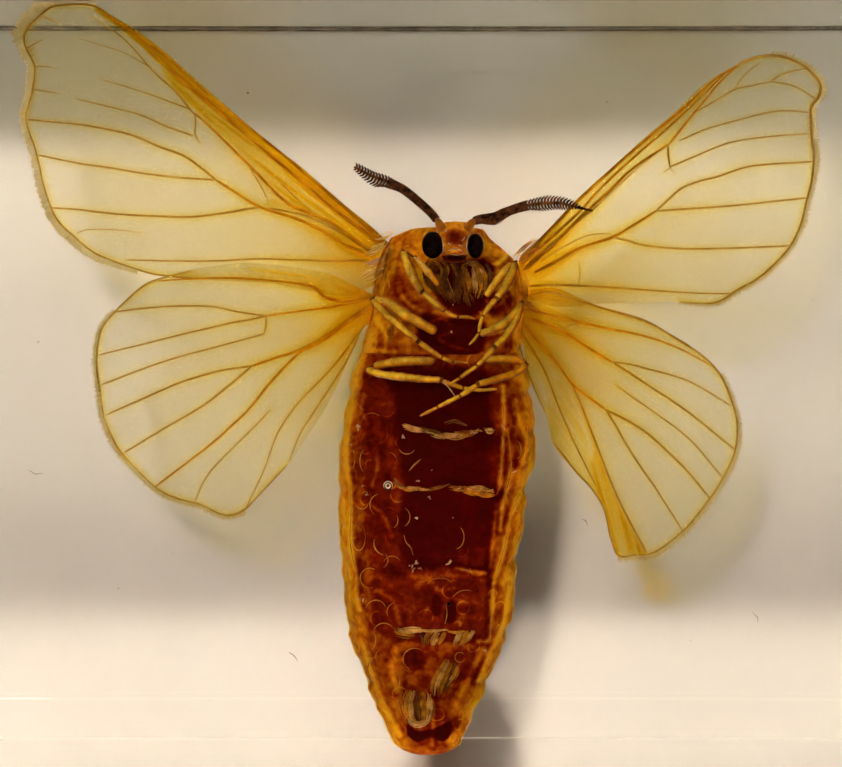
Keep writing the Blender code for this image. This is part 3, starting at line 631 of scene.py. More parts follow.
wings["hindwingRight"] = {
    "node": "hindwing_right", "height": 10.1, "lift": 0.3, "root": (522, 318),
    "front": [(508, 292), (525, 291), (555, 288), (579, 298), (599, 306), (618, 311), (648, 321),
        (678, 339), (703, 355), (721, 374), (731, 397), (738, 424)],
    "back": [(508, 334), (522, 340), (527, 372), (545, 412), (553, 444), (575, 472), (591, 489),
        (603, 509), (610, 539), (618, 557), (634, 556), (656, 553), (684, 531), (703, 509), (720, 485),
        (735, 454), (738, 424)],
    "veins": [
        (.06, .04, [(520, 300), (545, 292), (570, 298), (598, 307), (648, 323), (690, 346)]),
        (.09, .04, [(525, 309), (550, 315), (579, 322), (610, 329), (644, 336), (678, 348), (712, 366)]),
        (.04, .03, [(560, 330), (570, 325), (580, 323)]),
        (.10, .07, [(530, 318), (548, 325), (569, 335), (590, 349), (612, 362)]),
        (.05, .04, [(612, 362), (628, 364), (644, 368), (688, 381), (731, 406)]),
        (.06, .05, [(612, 362), (628, 372), (646, 384), (688, 412), (735, 450)]),
        (.04, .04, [(616, 385), (632, 397), (648, 408), (688, 438), (722, 477)]),
        (.09, .06, [(521, 321), (532, 334), (545, 349), (560, 367), (573, 385), (590, 398), (606, 410)]),
        (.07, .05, [(606, 410), (628, 421), (648, 434), (668, 452), (688, 472), (710, 499)]),
        (.06, .04, [(606, 410), (616, 426), (626, 444), (640, 466), (656, 489), (682, 530)]),
        (.06, .05, [(573, 387), (580, 402), (587, 420), (603, 462), (612, 485), (622, 507), (646, 552)]),
        (.06, .04, [(519, 328), (530, 346), (545, 372), (560, 410), (576, 446), (596, 486)]),
        (.05, .04, [(516, 334), (524, 360), (535, 390), (546, 414)]),
    ],
    "margin": [(618, 312), (648, 322), (678, 340), (702, 356), (720, 375), (730, 397), (737, 424),
        (734, 454), (719, 485), (702, 509), (683, 531), (655, 552), (634, 555), (619, 556), (611, 539),
        (604, 509), (592, 489), (576, 471), (554, 443)],
    "marginRadius": (.06, .05),
    "fringeWidths": [(0, 1), (.3, 2), (.6, 2.5), (.8, 3.5), (1, 3)],
    "fringe": [(721, 374), (731, 397), (738, 424), (735, 454), (720, 485), (703, 509), (684, 531),
        (656, 553), (634, 556), (618, 557)],
    "bands": [
        (.42, [(576, 402), (586, 410), (600, 444), (614, 480), (628, 513), (650, 555), (634, 558),
            (616, 559), (607, 539), (600, 509), (588, 489), (584, 468), (590, 450), (582, 425)]),
        (.24, [(540, 385), (551, 444), (573, 474), (591, 492), (602, 480), (594, 450), (582, 415),
            (562, 375)]),
        (.45, [(543, 405), (551, 444), (560, 452), (557, 430), (551, 408)]),
        (.45, [(508, 292), (525, 291), (555, 288), (598, 305), (575, 307), (549, 306), (527, 300)]),
    ],
}
membrane = {"alongCells": 220, "acrossCells": 110, "edgeSteps": 600, "mergeWithin": 0.002,
            "thickness": 0.05, "bendReach": 20.0, "ripple": 0.10, "rippleScale": 0.02, "rippleSeed": 3.0,
            "clearness": {"amber membrane": 0.93, "amber strip": 0.88}, "stripFrom": 0.47}
wingGlow = {"veinTone": 0.30, "veinReach": 0.30, "veinNormal": 0.1, "marginTone": 0.22,
            "marginReach": 0.30, "rootTones": ((0.32, 2.6), (0.15, 6.76)), "bandEdge": 1.5,
            "softBandEdge": 6.0, "streaks": 0.6, "streakScale": (0.012, 0.30), "streakSeed": 9}
membraneStops = [
    (0.0, (1.0, 0.98, 0.85)), (0.12, (1.0, 0.93, 0.58)), (0.25, (1.0, 0.83, 0.23)),
    (0.5, (1.0, 0.66, 0.03)), (0.6, (1.0, 0.60, 0.015)), (0.8, (0.95, 0.46, 0.006)),
    (1.0, (0.82, 0.35, 0.004)),
]
veinShape = {"scale": 0.85, "startShare": 0.5, "endShare": 0.4, "mainFrom": 0.075, "step": 5.0}
edgeShape = {"cells": 320, "rows": 4, "thickness": 0.03, "unevenness": (0.75, 1.15), "overlap": 0.6}
fringeShape = {"hairs": 700, "lean": 0.35, "reach": 0.13, "unevenness": (0.35, 1.25), "edgeShare": 0.75,
               "heightPlay": 0.04, "radii": (.018, .014, .004), "wallGap": 0.05}


def wingHeight(wing, x, y):
    # level at the root, lifting or drooping towards the far end
    root = wing["root"]
    reach = np.hypot(x - root[0], y - root[1]) * pixelSize(wing["height"]) / membrane["bendReach"]
    return wing["height"] + wing["lift"] * reach ** 2


def makeMembrane(wing):
    piece, along, across = makeSheet(membrane["alongCells"], membrane["acrossCells"])
    steps = membrane["edgeSteps"]
    front = evenPoints(wing["front"], steps + 1)
    back = evenPoints(wing["back"], steps + 1)
    row = np.rint(along * steps).astype(int)
    seen = front[row] * (1 - across)[:, None] + back[row] * across[:, None]
    scale = membrane["rippleScale"]
    ripple = np.array([noise.noise(Vector((x * scale, y * scale, membrane["rippleSeed"])))
                       for x, y in seen]) * membrane["ripple"]
    heights = wingHeight(wing, seen[:, 0], seen[:, 1]) + ripple
    setCorners(piece, [place(x, y, z) for (x, y), z in zip(seen, heights)])
    setValues(piece, "tone", wingTone(wing, seen))
    faceOutward(membrane["mergeWithin"])
    thicken(piece, membrane["thickness"])
    bpy.ops.object.shade_smooth()
    return piece


def wingTone(wing, seen):
    # how deep the wing's amber is at each spot
    pixel = pixelSize(wing["height"])
    tone = np.zeros(len(seen))
    for start, end, line in wing["veins"]:
        gap, share = distanceToLine(seen, smoothLine(line, 4.0))
        radius = (start + (end - start) * share) / wingGlow["veinNormal"]
        glow = radius * np.exp(-(gap * pixel / (wingGlow["veinReach"] * (0.4 + radius))) ** 2)
        tone = np.maximum(tone, wingGlow["veinTone"] * glow)
    gap, _ = distanceToLine(seen, smoothLine(wing["margin"], 4.0))
    glow = np.exp(-(gap * pixel / wingGlow["marginReach"]) ** 2)
    tone = np.maximum(tone, wingGlow["marginTone"] * glow)
    rootGap = np.hypot(*(seen - np.array(wing["root"])).T) * pixel
    for deepness, reach in wingGlow["rootTones"]:
        tone = tone + deepness * np.exp(-(rootGap / reach) ** 2)
    for strength, outline in wing["bands"]:
        tone = np.maximum(tone, strength * bandShare(seen, strength, outline))
    return np.clip(tone, 0, 1)


def bandShare(seen, strength, outline):
    # how much of a band's amber lies at each spot: soft at its edge, streaked along it
    dense = smoothLoop(outline, 3.0)
    within = insideOutline(seen, dense)
    gap, _ = distanceToLine(seen, dense)
    soft = wingGlow["bandEdge"] if strength > 0.5 else wingGlow["softBandEdge"]
    run = np.array(outline[len(outline) // 2]) - outline[0]
    run = run / np.linalg.norm(run)
    alongScale, acrossScale = wingGlow["streakScale"]
    steps = zip(seen @ run * alongScale, seen @ np.array((-run[1], run[0])) * acrossScale)
    seed = strength * wingGlow["streakSeed"]
    streaks = np.array([noise.noise(Vector((along, across, seed))) for along, across in steps])
    return np.clip(gap / soft, 0, 1) * within * (1 + wingGlow["streaks"] * streaks)


def membraneFinish(name, clearness):
    # a film that filters the light, with some haze: its tone says how deep the amber is
    finish = newFinish(name, {"Roughness": 0.08, "IOR": 1.01, "Transmission Weight": clearness})
    addShading(finish, blendByValue(finish, "tone", membraneStops), 420.0, (0.97, 0.95, 0.88))
    return finish


def veinLine(wing, line, start, end):
    points = smoothLine(line, veinShape["step"])
    radii = [radius * veinShape["scale"] for radius in taper(len(points), start, end)]
    radii[0] *= veinShape["startShare"]
    radii[-1] *= veinShape["endShare"]
    return [place(x, y, float(wingHeight(wing, x, y))) for x, y in points], radii


def makeVeins(wing, main):
    # the main veins, or the fine ones with the margin's
    lines = [veinLine(wing, line, start, end) for start, end, line in wing["veins"]
             if (start >= veinShape["mainFrom"]) == main]
    if not main:
        lines.append(veinLine(wing, wing["margin"], *wing["marginRadius"]))
    return strands(lines, sides=2)


def makeEdgeFilm(wing, dice):
    # the pale edge of close-set scales past the margin's vein, ragged on its far side
    count = edgeShape["cells"]
    piece, along, share = makeSheet(count, edgeShape["rows"])
    border = evenPoints(wing["fringe"], count + 1)
    run = np.gradient(border, axis=0)
    outward = np.stack([run[:, 1], -run[:, 0]], axis=1) / np.linalg.norm(run, axis=1)[:, None]
    if ((border - border.mean(axis=0)) * outward).sum() < 0:
        outward = -outward
    row = np.rint(along * count).astype(int)
    widths = np.interp(np.linspace(0, 1, count + 1), *zip(*wing["fringeWidths"]))
    widths = widths * np.array([dice.uniform(*edgeShape["unevenness"]) for _ in widths])
    reach = widths[row] * share - edgeShape["overlap"] * (1 - share)
    seen = border[row] + outward[row] * reach[:, None]
    heights = wingHeight(wing, seen[:, 0], seen[:, 1])
    setCorners(piece, [clampInside(place(x, y, z)) for (x, y), z in zip(seen, heights)])
    faceOutward()
    thicken(piece, edgeShape["thickness"])
    return piece


def makeFringe(wing, dice):
    # fine hairs that stand out past the wing's far margin
    border = evenPoints(wing["fringe"], fringeShape["hairs"])
    middle = np.mean(border, axis=0)
    play = fringeShape["heightPlay"]
    lines = []
    for index in range(1, len(border) - 1):
        run = border[index + 1] - border[index - 1]
        outward = np.array((run[1], -run[0])) / np.linalg.norm(run)
        if (border[index] - middle) @ outward < 0:
            outward = -outward
        lean = dice.gauss(0, fringeShape["lean"])
        turned = np.array((outward[0] * math.cos(lean) - outward[1] * math.sin(lean),
                           outward[0] * math.sin(lean) + outward[1] * math.cos(lean)))
        reach = fringeShape["reach"] / pixelSize(wing["height"])
        reach *= dice.uniform(*fringeShape["unevenness"])
        reach += fringeShape["edgeShare"] * np.interp(index / len(border), *zip(*wing["fringeWidths"]))
        start = border[index] - turned
        points = [start, start + turned * (reach * 0.5 + 1), start + turned * (reach + 2) + run * 0.6]
        height = float(wingHeight(wing, *border[index])) + dice.uniform(-play, play)
        lines.append(([clampInside(place(x, y, height)) for x, y in points], fringeShape["radii"]))
    return strands(lines, sides=0)


def clampInside(point):
    # keeps a hair's tip a little inside the block's wall
    limit = cadBox[1].y - fringeShape["wallGap"] * mm
    return Vector((point.x, max(-limit, min(limit, point.y)), point.z))


def makeWings():
    dice = random.Random(7)
    films = [membraneFinish(name, clearness) for name, clearness in membrane["clearness"].items()]
    rib = mottledFinish("main vein", 0.5, 0.05, (0.36, 0.12, 0.001), (0.70, 0.31, 0.004), 900.0)
    fine = mottledFinish("fine vein", 0.5, 0.05, (0.42, 0.21, 0.015), (0.68, 0.41, 0.07), 900.0, 0.7)
    edge = mottledFinish("scale edge", 0.6, 0.05, (0.92, 0.72, 0.28), (1.0, 0.90, 0.50), 1300.0, 0.5)
    hair = mottledFinish("fringe hair", 0.6, 0.05, (0.86, 0.62, 0.16), (0.98, 0.86, 0.42), 1500.0, 0.6)
    for name, wing in wings.items():
        node = [wing["node"]]
        piece = settle(makeMembrane(wing), name, "wing", node, *films)
        tones = piece.data.attributes["tone"].data
        for face in piece.data.polygons:
            deepness = np.mean([tones[index].value for index in face.vertices])
            face.material_index = int(deepness > membrane["stripFrom"])
        settle(makeVeins(wing, True), name + "MainVeins", "wing", node, rib)
        settle(makeVeins(wing, False), name + "FineVeins", "wing", node, fine)
        settle(makeEdgeFilm(wing, dice), name + "Edge", "wing", node, edge)
        settle(makeFringe(wing, dice), name + "Fringe", "wing", node, hair)
        print("wing done:", name)


# The body: rounded masses with tones painted on them

# y, left side, right side, back, belly
abdomenSections = [
    (1.55, -3.23, 5.26, 6.5, 12.2), (0.2, -3.68, 5.66, 6.2, 12.5), (-1.6, -4.03, 5.96, 6, 12.8),
    (-3.6, -4.33, 6.06, 5.9, 13.1), (-5.4, -4.33, 5.56, 5.9, 13.3), (-7.5, -4.28, 5.31, 5.9, 13.3),
    (-9.5, -4.18, 5.04, 6, 13.2), (-11.8, -3.98, 4.84, 6.2, 13), (-13.2, -3.78, 4.54, 6.4, 12.8),
    (-14.6, -3.18, 3.94, 6.8, 12.5), (-16.2, -2.68, 3.24, 7.3, 12.2), (-17.6, -2.03, 2.59, 7.9, 11.9),
    (-18.7, -1.43, 2.09, 8.5, 11.6),
]
thoraxSections = [
    (8.1, -0.6, 3.3, 8.0, 10.3), (7.7, -1.6, 3.6, 7.3, 10.5), (7.1, -2.0, 4.3, 6.7, 10.6),
    (6.6, -2.2, 4.9, 6.4, 10.8), (6.0, -2.35, 5.2, 6.2, 11.3), (5.2, -2.4, 5.35, 6.1, 12.0),
    (4.2, -2.45, 5.4, 6.0, 12.4), (3.0, -2.8, 5.35, 6.0, 12.6), (1.60, -3.15, 5.2, 6.1, 12.4),
]
headSections = [
    (8.2, 1.05, 2.45, 11.9, 12.9), (7.9, 0.80, 2.65, 11.3, 13.2), (7.4, 0.92, 2.48, 11.0, 13.45),
    (6.7, 1.02, 2.42, 11.1, 13.35), (6.4, 1.15, 2.3, 11.6, 13.0),
]
bodyShape = {
    "creases": [-0.4, -2.5, -5.6, -9.2, -12.9, -15.6], "creaseWidth": 0.30, "creaseDepth": 0.14,
    "capShare": 0.03, "squareness": 2.3,
}
eggShape = {"count": 2400, "radius": 0.55, "height": 0.10, "low": (-4.5, -20, 5.5),
            "high": (6.2, 2, 13.6), "sunk": 0.06}
swellings = [(0.9, 0.10), (2.3, 0.05)]


def sectionAt(sections, along):
    # the section's four sides at a share of the way from its first row to its last
    rows = np.array(sections)
    ends = rows[0, 0], rows[-1, 0]
    station = ends[0] + (ends[1] - ends[0]) * along
    keys = rows[::-1, 0]
    sides = [np.interp(station, keys, rows[::-1, column]) for column in (1, 2, 3, 4)]
    return station, sides


def squared(circle, halfSize):
    # a circle's sine or cosine, filled out towards a square
    power = 2 / bodyShape["squareness"]
    return np.sign(circle) * np.abs(circle) ** power * halfSize


def makeRounded(sections, rings, sides, tips, lumps, creaseDepth=0.0):
    # a closed body through the sections, with its poles along Y
    piece = makeBall(sides, rings)
    ball = corners(piece)
    share = np.arccos(np.clip(ball[:, 2], -1, 1)) / math.pi
    turn = np.arctan2(ball[:, 1], ball[:, 0])
    cap = bodyShape["capShare"]
    along = np.clip((share - cap) / (1 - 2 * cap), 0, 1)
    station, (left, right, back, belly) = sectionAt(sections, along)
    nearStart = np.clip(share / cap, 0, 1)
    nearEnd = np.clip((1 - share) / cap, 0, 1)
    closing = np.sqrt((1 - (1 - nearStart) ** 2) * (1 - (1 - nearEnd) ** 2))
    station = station + tips[0] * (1 - nearStart) - tips[1] * (1 - nearEnd)
    halfWidth, halfHeight = (right - left) / 2, (belly - back) / 2
    crease = np.zeros(len(ball))
    for ring in bodyShape["creases"]:
        crease += np.exp(-((station - ring) / bodyShape["creaseWidth"]) ** 2)
    shrink = closing * (1 - crease * creaseDepth / np.maximum(halfWidth, 0.5))
    across = squared(np.cos(turn), halfWidth) * shrink
    up = squared(np.sin(turn), halfHeight) * shrink
    spots = np.stack([(left + right) / 2 + across, station, (back + belly) / 2 + up], axis=1)
    outward = np.stack([across, np.zeros(len(ball)), up], axis=1)
    outward /= np.maximum(np.linalg.norm(outward, axis=1), 1e-6)[:, None]
    setCorners(piece, (spots + outward * lumps(spots)[:, None]) * mm)
    faceOutward()
    return piece


def treeOf(*pieces):
    # a tree that rays can be cast at, of one or more pieces
    points, faces = [], []
    for piece in pieces:
        start = len(points)
        points += [vertex.co.copy() for vertex in piece.data.vertices]
        faces += [[start + index for index in face.vertices] for face in piece.data.polygons]
    return BVHTree.FromPolygons(points, faces)


def onto(tree, x, y, lift=0.0):
    # the spot on a surface that shows up at a place in the picture, raised by lift mm
    eye = Vector((0, 0, blockTop + (picture["cameraHeight"] - blockTop) * resinIndex)) * mm
    aim = (place(x, y, 10.0) - eye).normalized()
    hit = tree.ray_cast(eye, aim)[0]
    if hit is None:
        return None
    return hit - aim * lift * mm


def drawnOn(tree, line, radii, lift=0.0):
    # a strand laid along a drawn line over a surface
    points = [onto(tree, x, y, lift) for x, y in smoothLine(line, 2.0)]
    points = [point for point in points if point is not None]
    if len(points) < 2:
        return None
    return points, [widthAt(index / (len(points) - 1), *radii) for index in range(len(points))]


def eggRelief():
    # a bumpy relief of round eggs packed under the skin
    dice = random.Random(11)
    corner, far = eggShape["low"], eggShape["high"]
    middles = [Vector((dice.uniform(corner[0], far[0]), dice.uniform(corner[1], far[1]),
                       dice.uniform(corner[2], far[2]))) for _ in range(eggShape["count"])]
    tree = KDTree(len(middles))
    for index, middle in enumerate(middles):
        tree.insert(middle, index)
    tree.balance()

    def relief(spots):
        gaps = np.array([tree.find(Vector(spot))[2] for spot in spots])
        return np.maximum(0.0, 1 - (gaps / eggShape["radius"]) ** 2) * eggShape["height"]
    return relief


def skinFolds(spots):
    # shallow uneven swellings of the skin
    return np.array([sum(noise.noise(Vector(spot) * scale) * depth for scale, depth in swellings)
                     for spot in spots])


toneStops = [
    (0.0, (0.045, 0.0001, 0.0001)), (0.2, (0.090, 0.0006, 0.0002)), (0.4, (0.235, 0.014, 0.0006)),
    (0.6, (0.52, 0.105, 0.003)), (0.8, (0.85, 0.31, 0.006)), (1.0, (0.98, 0.50, 0.02)),
]


def makeEggLightRings():
    # painted light: faint bright rings where light bends at the round eggs' shells, broken up, as a value
    # from 0 to 1
    black, white = (0, 0, 0), (1, 1, 1)
    group, start, end = newGroup("egg light rings", [("Vector", "Vector", None)], [("Value", "Float")])
    cells = addNode(group, "ShaderNodeTexVoronoi", {"Scale": 760.0})
    rim = group.nodes.new("ShaderNodeValToRGB")
    fillRamp(rim, [(0.27, black), (0.315, white), (0.36, black)])
    breaks = addNode(group, "ShaderNodeTexNoise", {"Scale": 900.0, "Detail": 2.0})
    kept = addNode(group, "ShaderNodeMapRange", {"From Min": 0.48, "From Max": 0.62})
    both = addMath(group, "MULTIPLY")
    join(group, (start, "Vector", cells, "Vector"), (start, "Vector", breaks, "Vector"),
         (cells, "Distance", rim, "Fac"), (breaks, "Fac", kept, "Value"),
         (rim, "Color", both, 0), (kept, "Result", both, 1), (both, "Value", end, "Value"))
    return group


def massFinish(name):
    # the inner mass: its painted tone, with painted light rings at the eggs and mottling where it isn't
    # darkest
    finish = newFinish(name, {
        "Roughness": 0.5, "Specular IOR Level": 0.02, "Subsurface Weight": 0.35,
        "Subsurface Radius": (1.0, 0.25, 0.03), "Subsurface Scale": 0.4 * mm})
    tree = finish.node_tree
    ramp = blendByValue(finish, "tone", toneStops)
    tone = ramp.inputs["Fac"].links[0].from_node
    where = tree.nodes.new("ShaderNodeTexCoord")
    eggLightRings = tree.nodes.new("ShaderNodeGroup")
    eggLightRings.node_tree = makeEggLightRings()
    patches = addPatches(tree, 1100.0)
    reach = addNode(tree, "ShaderNodeMapRange", {
        "From Min": 0.08, "From Max": 0.35, "To Min": 0.02, "To Max": 0.25})
    lowered = addMath(tree, "MULTIPLY_ADD")  # the tone less half the reach
    lowered.inputs[1].default_value = -0.5
    unrest = addMath(tree, "MULTIPLY_ADD")
    litRims = addMath(tree, "MULTIPLY_ADD")
    join(tree, (where, "Object", eggLightRings, "Vector"), (tone, "Fac", reach, "Value"),
         (reach, "Result", lowered, 0), (tone, "Fac", lowered, 2),
         (patches, "Height", unrest, 0), (reach, "Result", unrest, 1), (lowered, "Value", unrest, 2),
         (eggLightRings, "Value", litRims, 0), (reach, "Result", litRims, 1), (unrest, "Value", litRims, 2),
         (litRims, "Value", ramp, "Fac"), (ramp, "Color", shaderOf(finish), "Base Color"))
    addRelief(finish, patches, "Height", strength=0.4, depth=0.08)
    return finish


# How light the inner mass is, over the picture: zones are (tone, softness of the edge, outline),
# rims (tone, reach, line), painted light through the thin edges, and ridges (width, rise, line),
# a lighter crest with a painted shadow beside it
abdomenLook = {"base": 0.66, "unrest": 0.11}
abdomenLook["ridges"] = [
    (2.0, 0.30, [(503, 386), (504, 427), (502, 459), (500, 485), (497, 494)]),
    (2.0, 0.22, [(508, 430), (511, 467), (505, 496), (502, 512), (500, 530)]),
    (2.2, 0.24, [(520, 493), (512, 512), (508, 530), (502, 556), (494, 582)]),
    (1.8, 0.20, [(496, 512), (493, 540), (490, 568)]),
    (2.0, 0.24, [(493, 584), (492, 600), (491, 620), (489, 640), (478, 641)]),
    (2.2, 0.24, [(510, 588), (504, 622), (495, 643), (488, 658), (478, 680)]),
    (1.8, 0.24, [(456, 568), (470, 571), (485, 573)]),
    (2.0, 0.22, [(352, 388), (348, 432), (346, 459), (350, 485), (351, 512), (350, 538), (353, 559),
        (357, 576), (356, 592), (360, 610)]),
    (2.2, 0.18, [(362, 640), (372, 676), (386, 708), (400, 735)]),
    (2.5, 0.20, [(516, 400), (519, 420), (526, 440), (522, 462)]),
    (2.0, 0.18, [(364, 395), (362, 410), (368, 424)]),
    (3.0, 0.16, [(396, 650), (392, 672), (398, 690)]),
    (3.0, 0.16, [(484, 650), (472, 672), (462, 690), (452, 716)]),
    (2.0, 0.20, [(432, 700), (433, 722), (432, 744)]),
    (2.0, 0.14, [(372, 440), (378, 462), (372, 486)]),
    (2.0, 0.14, [(372, 505), (384, 516), (392, 536)]),
    (2.5, 0.14, [(376, 590), (392, 600), (400, 622)]),
    (2.0, 0.14, [(430, 580), (440, 590), (455, 588)]),
]
abdomenLook["litRims"] = [
    (0.97, 8, [(356, 352), (351, 380), (344, 415), (339, 450), (340, 499), (341, 534), (345, 574)]),
    (0.82, 7, [(345, 574), (347, 607), (351, 635), (362, 659), (370, 687), (384, 718), (397, 741)]),
    (0.84, 7, [(524, 352), (529, 387), (535, 429), (536, 453), (526, 484), (521, 503), (522, 527),
        (517, 562), (509, 580), (511, 611), (505, 635), (493, 667), (479, 697), (467, 714)]),
]
abdomenLook["zones"] = [
    (0.50, 8, [(362, 345), (356, 400), (352, 440), (353, 500), (356, 560), (364, 620), (382, 690),
        (404, 735), (440, 745), (466, 700), (486, 645), (492, 580), (497, 520), (504, 480), (508, 440),
        (506, 400), (504, 345)]),
    (0.50, 5, [(508, 380), (524, 385), (526, 400), (520, 415), (512, 425), (508, 400)]),
    (0.45, 6, [(510, 428), (520, 432), (526, 445), (520, 462), (512, 470), (508, 450)]),
    (0.30, 14, [(364, 375), (362, 440), (364, 500), (372, 560), (392, 590), (412, 590), (402, 540),
        (396, 500), (390, 440), (384, 380)]),
    (0.48, 6, [(364, 345), (366, 358), (400, 360), (440, 362), (490, 360), (510, 356), (510, 345)]),
    (0.10, 18, [(382, 368), (391, 400), (397, 434), (440, 437), (489, 433), (492, 400), (489, 372),
        (450, 366)]),
    (0.11, 16, [(394, 430), (399, 460), (405, 488), (430, 492), (489, 491), (491, 460), (491, 428)]),
    (0.13, 14, [(400, 490), (398, 530), (406, 566), (430, 572), (456, 567), (487, 570), (490, 540),
        (493, 512), (498, 488)]),
    (0.24, 8, [(458, 548), (476, 545), (486, 550), (486, 566), (460, 564)]),
    (0.34, 5, [(372, 580), (376, 630), (402, 640), (440, 642), (489, 641), (490, 610), (490, 578),
        (455, 578)]),
    (0.16, 4, [(430, 600), (434, 594), (441, 597), (443, 606), (439, 616), (431, 614)]),
    (0.14, 4, [(445, 610), (451, 600), (456, 606), (457, 618), (450, 624), (444, 620)]),
    (0.62, 6, [(380, 664), (404, 659), (402, 700), (396, 728), (382, 700)]),
    (0.42, 6, [(404, 648), (403, 700), (410, 728), (440, 736), (462, 722), (476, 690), (484, 655),
        (450, 648)]),
    (0.24, 4, [(405, 652), (412, 648), (422, 650), (427, 659), (422, 668), (410, 670), (404, 662)]),
    (0.52, 6, [(440, 690), (462, 680), (474, 690), (464, 714), (444, 712)]),
    (0.05, 3, [(407, 724), (419, 731), (436, 728), (450, 721), (451, 733), (444, 741), (430, 737),
        (418, 741), (408, 735)]),
    (0.50, 4, [(410, 744), (430, 741), (448, 744), (444, 756), (416, 757)]),
]
thoraxLook = {"base": 0.74, "unrest": 0.16}
thoraxLook["ridges"] = [
    (1.8, 0.24, [(430, 323), (438, 319), (447, 321), (451, 328), (448, 334), (438, 336)]),
    (2.2, 0.20, [(392, 248), (387, 264), (384, 280), (383, 294)]),
    (2.0, 0.20, [(400, 242), (396, 256), (393, 270)]),
    (2.0, 0.22, [(487, 262), (494, 264), (500, 262), (506, 256)]),
    (2.0, 0.20, [(520, 282), (524, 292), (522, 302)]),
    (2.0, 0.20, [(486, 300), (492, 306), (500, 304), (506, 296)]),
    (2.0, 0.18, [(486, 334), (498, 332), (510, 322), (517, 312)]),
    (2.2, 0.22, [(376, 318), (386, 336), (384, 352)]),
    (2.0, 0.18, [(402, 296), (412, 306), (424, 312)]),
    (1.8, 0.18, [(412, 250), (420, 262), (430, 268)]),
    (2.0, 0.20, [(440, 340), (452, 346), (468, 350)]),
    (2.0, 0.20, [(366, 346), (376, 350), (396, 352)]),
    (2.4, 0.18, [(497, 252), (508, 254), (520, 262)]),
]
thoraxLook["litRims"] = [
    (0.95, 9, [(384, 262), (374, 290), (368, 320), (364, 352)]),
    (0.93, 8, [(524, 256), (528, 290), (526, 330), (524, 352)]),
]
thoraxLook["zones"] = [
    (0.80, 8, [(404, 246), (422, 236), (436, 262), (440, 282), (420, 276)]),
    (0.54, 8, [(396, 268), (412, 284), (426, 300), (440, 314), (428, 328), (405, 310), (388, 300)]),
    (0.60, 8, [(378, 332), (400, 334), (425, 350), (420, 360), (380, 356)]),
    (0.42, 6, [(490, 292), (505, 288), (512, 300), (506, 315), (494, 318), (484, 308)]),
    (0.16, 8, [(434, 262), (490, 262), (488, 300), (470, 318), (446, 310), (434, 290)]),
    (0.12, 8, [(424, 312), (440, 318), (480, 320), (486, 334), (484, 348), (474, 356), (440, 358),
        (424, 346), (416, 335)]),
    (0.50, 7, [(486, 336), (508, 330), (516, 345), (505, 358), (490, 352)]),
]
toneBrush = {"rimFull": 1.6, "foldShadowGap": 2.2, "foldShadowWidth": 1.3, "foldShadowDepth": 0.45,
             "foldShadowFrom": 0.12, "drifts": ((0.6, 1.3), (0.9, 4.2)), "driftFloor": 0.45}


def paintTones(piece, look):
    # sets the tone of an inner mass from zones, rims of painted light and ridges drawn over the picture
    spots = corners(piece) / mm
    seen = inPicture(spots)
    tone = np.full(len(spots), look["base"])
    for value, soft, outline in look["zones"]:
        dense = smoothLoop(outline, 5.0)
        gap, _ = distanceToLine(seen, dense)
        weight = np.clip(0.5 + np.where(insideOutline(seen, dense), gap, -gap) / soft, 0, 1)
        weight = weight * weight * (3 - 2 * weight)
        tone = tone * (1 - weight) + value * weight
    # painted light: the thin edges are painted bright, as if lit through
    for value, reach, line in look["litRims"]:
        gap, _ = distanceToLine(seen, smoothLine(line, 8.0))
        weight = np.clip(toneBrush["rimFull"] - gap / reach, 0, 1)
        tone = np.maximum(tone, tone + (value - tone) * weight)
    for width, rise, line in look["ridges"]:
        gap, _ = distanceToLine(seen, smoothLine(line, 4.0))
        ridge = np.exp(-(gap / width) ** 2)
        # painted shadow: a darker band just beside each fold's lighter crest
        beside = gap - width * toneBrush["foldShadowGap"]
        foldShadow = np.exp(-(beside / (width * toneBrush["foldShadowWidth"])) ** 2)
        foldShadow *= toneBrush["foldShadowDepth"] * (tone > toneBrush["foldShadowFrom"])
        tone = tone + rise * (ridge - foldShadow)
    drift = [sum(share * noise.noise(Vector(spot) * scale) for share, scale in toneBrush["drifts"])
             for spot in spots]
    tone = tone + np.array(drift) * look["unrest"] * (toneBrush["driftFloor"] + tone)
    setValues(piece, "tone", np.clip(tone, 0, 1))


def makeAbdomen():
    eggs = eggRelief()
    piece = makeRounded(abdomenSections, 300, 220, (0.45, 0.75),
                        lambda spots: skinFolds(spots) + eggs(spots) - eggShape["sunk"],
                        bodyShape["creaseDepth"])
    paintTones(piece, abdomenLook)
    return settle(piece, "abdomenMass", "abdomen_skin", ["abdomen"], massFinish("egg mass"))


def makeThorax():
    piece = makeRounded(thoraxSections, 200, 200, (0.15, 0.3), skinFolds)
    paintTones(piece, thoraxLook)
    return settle(piece, "thoraxMass", "thorax_skin", ["thorax"], massFinish("thorax muscle"))
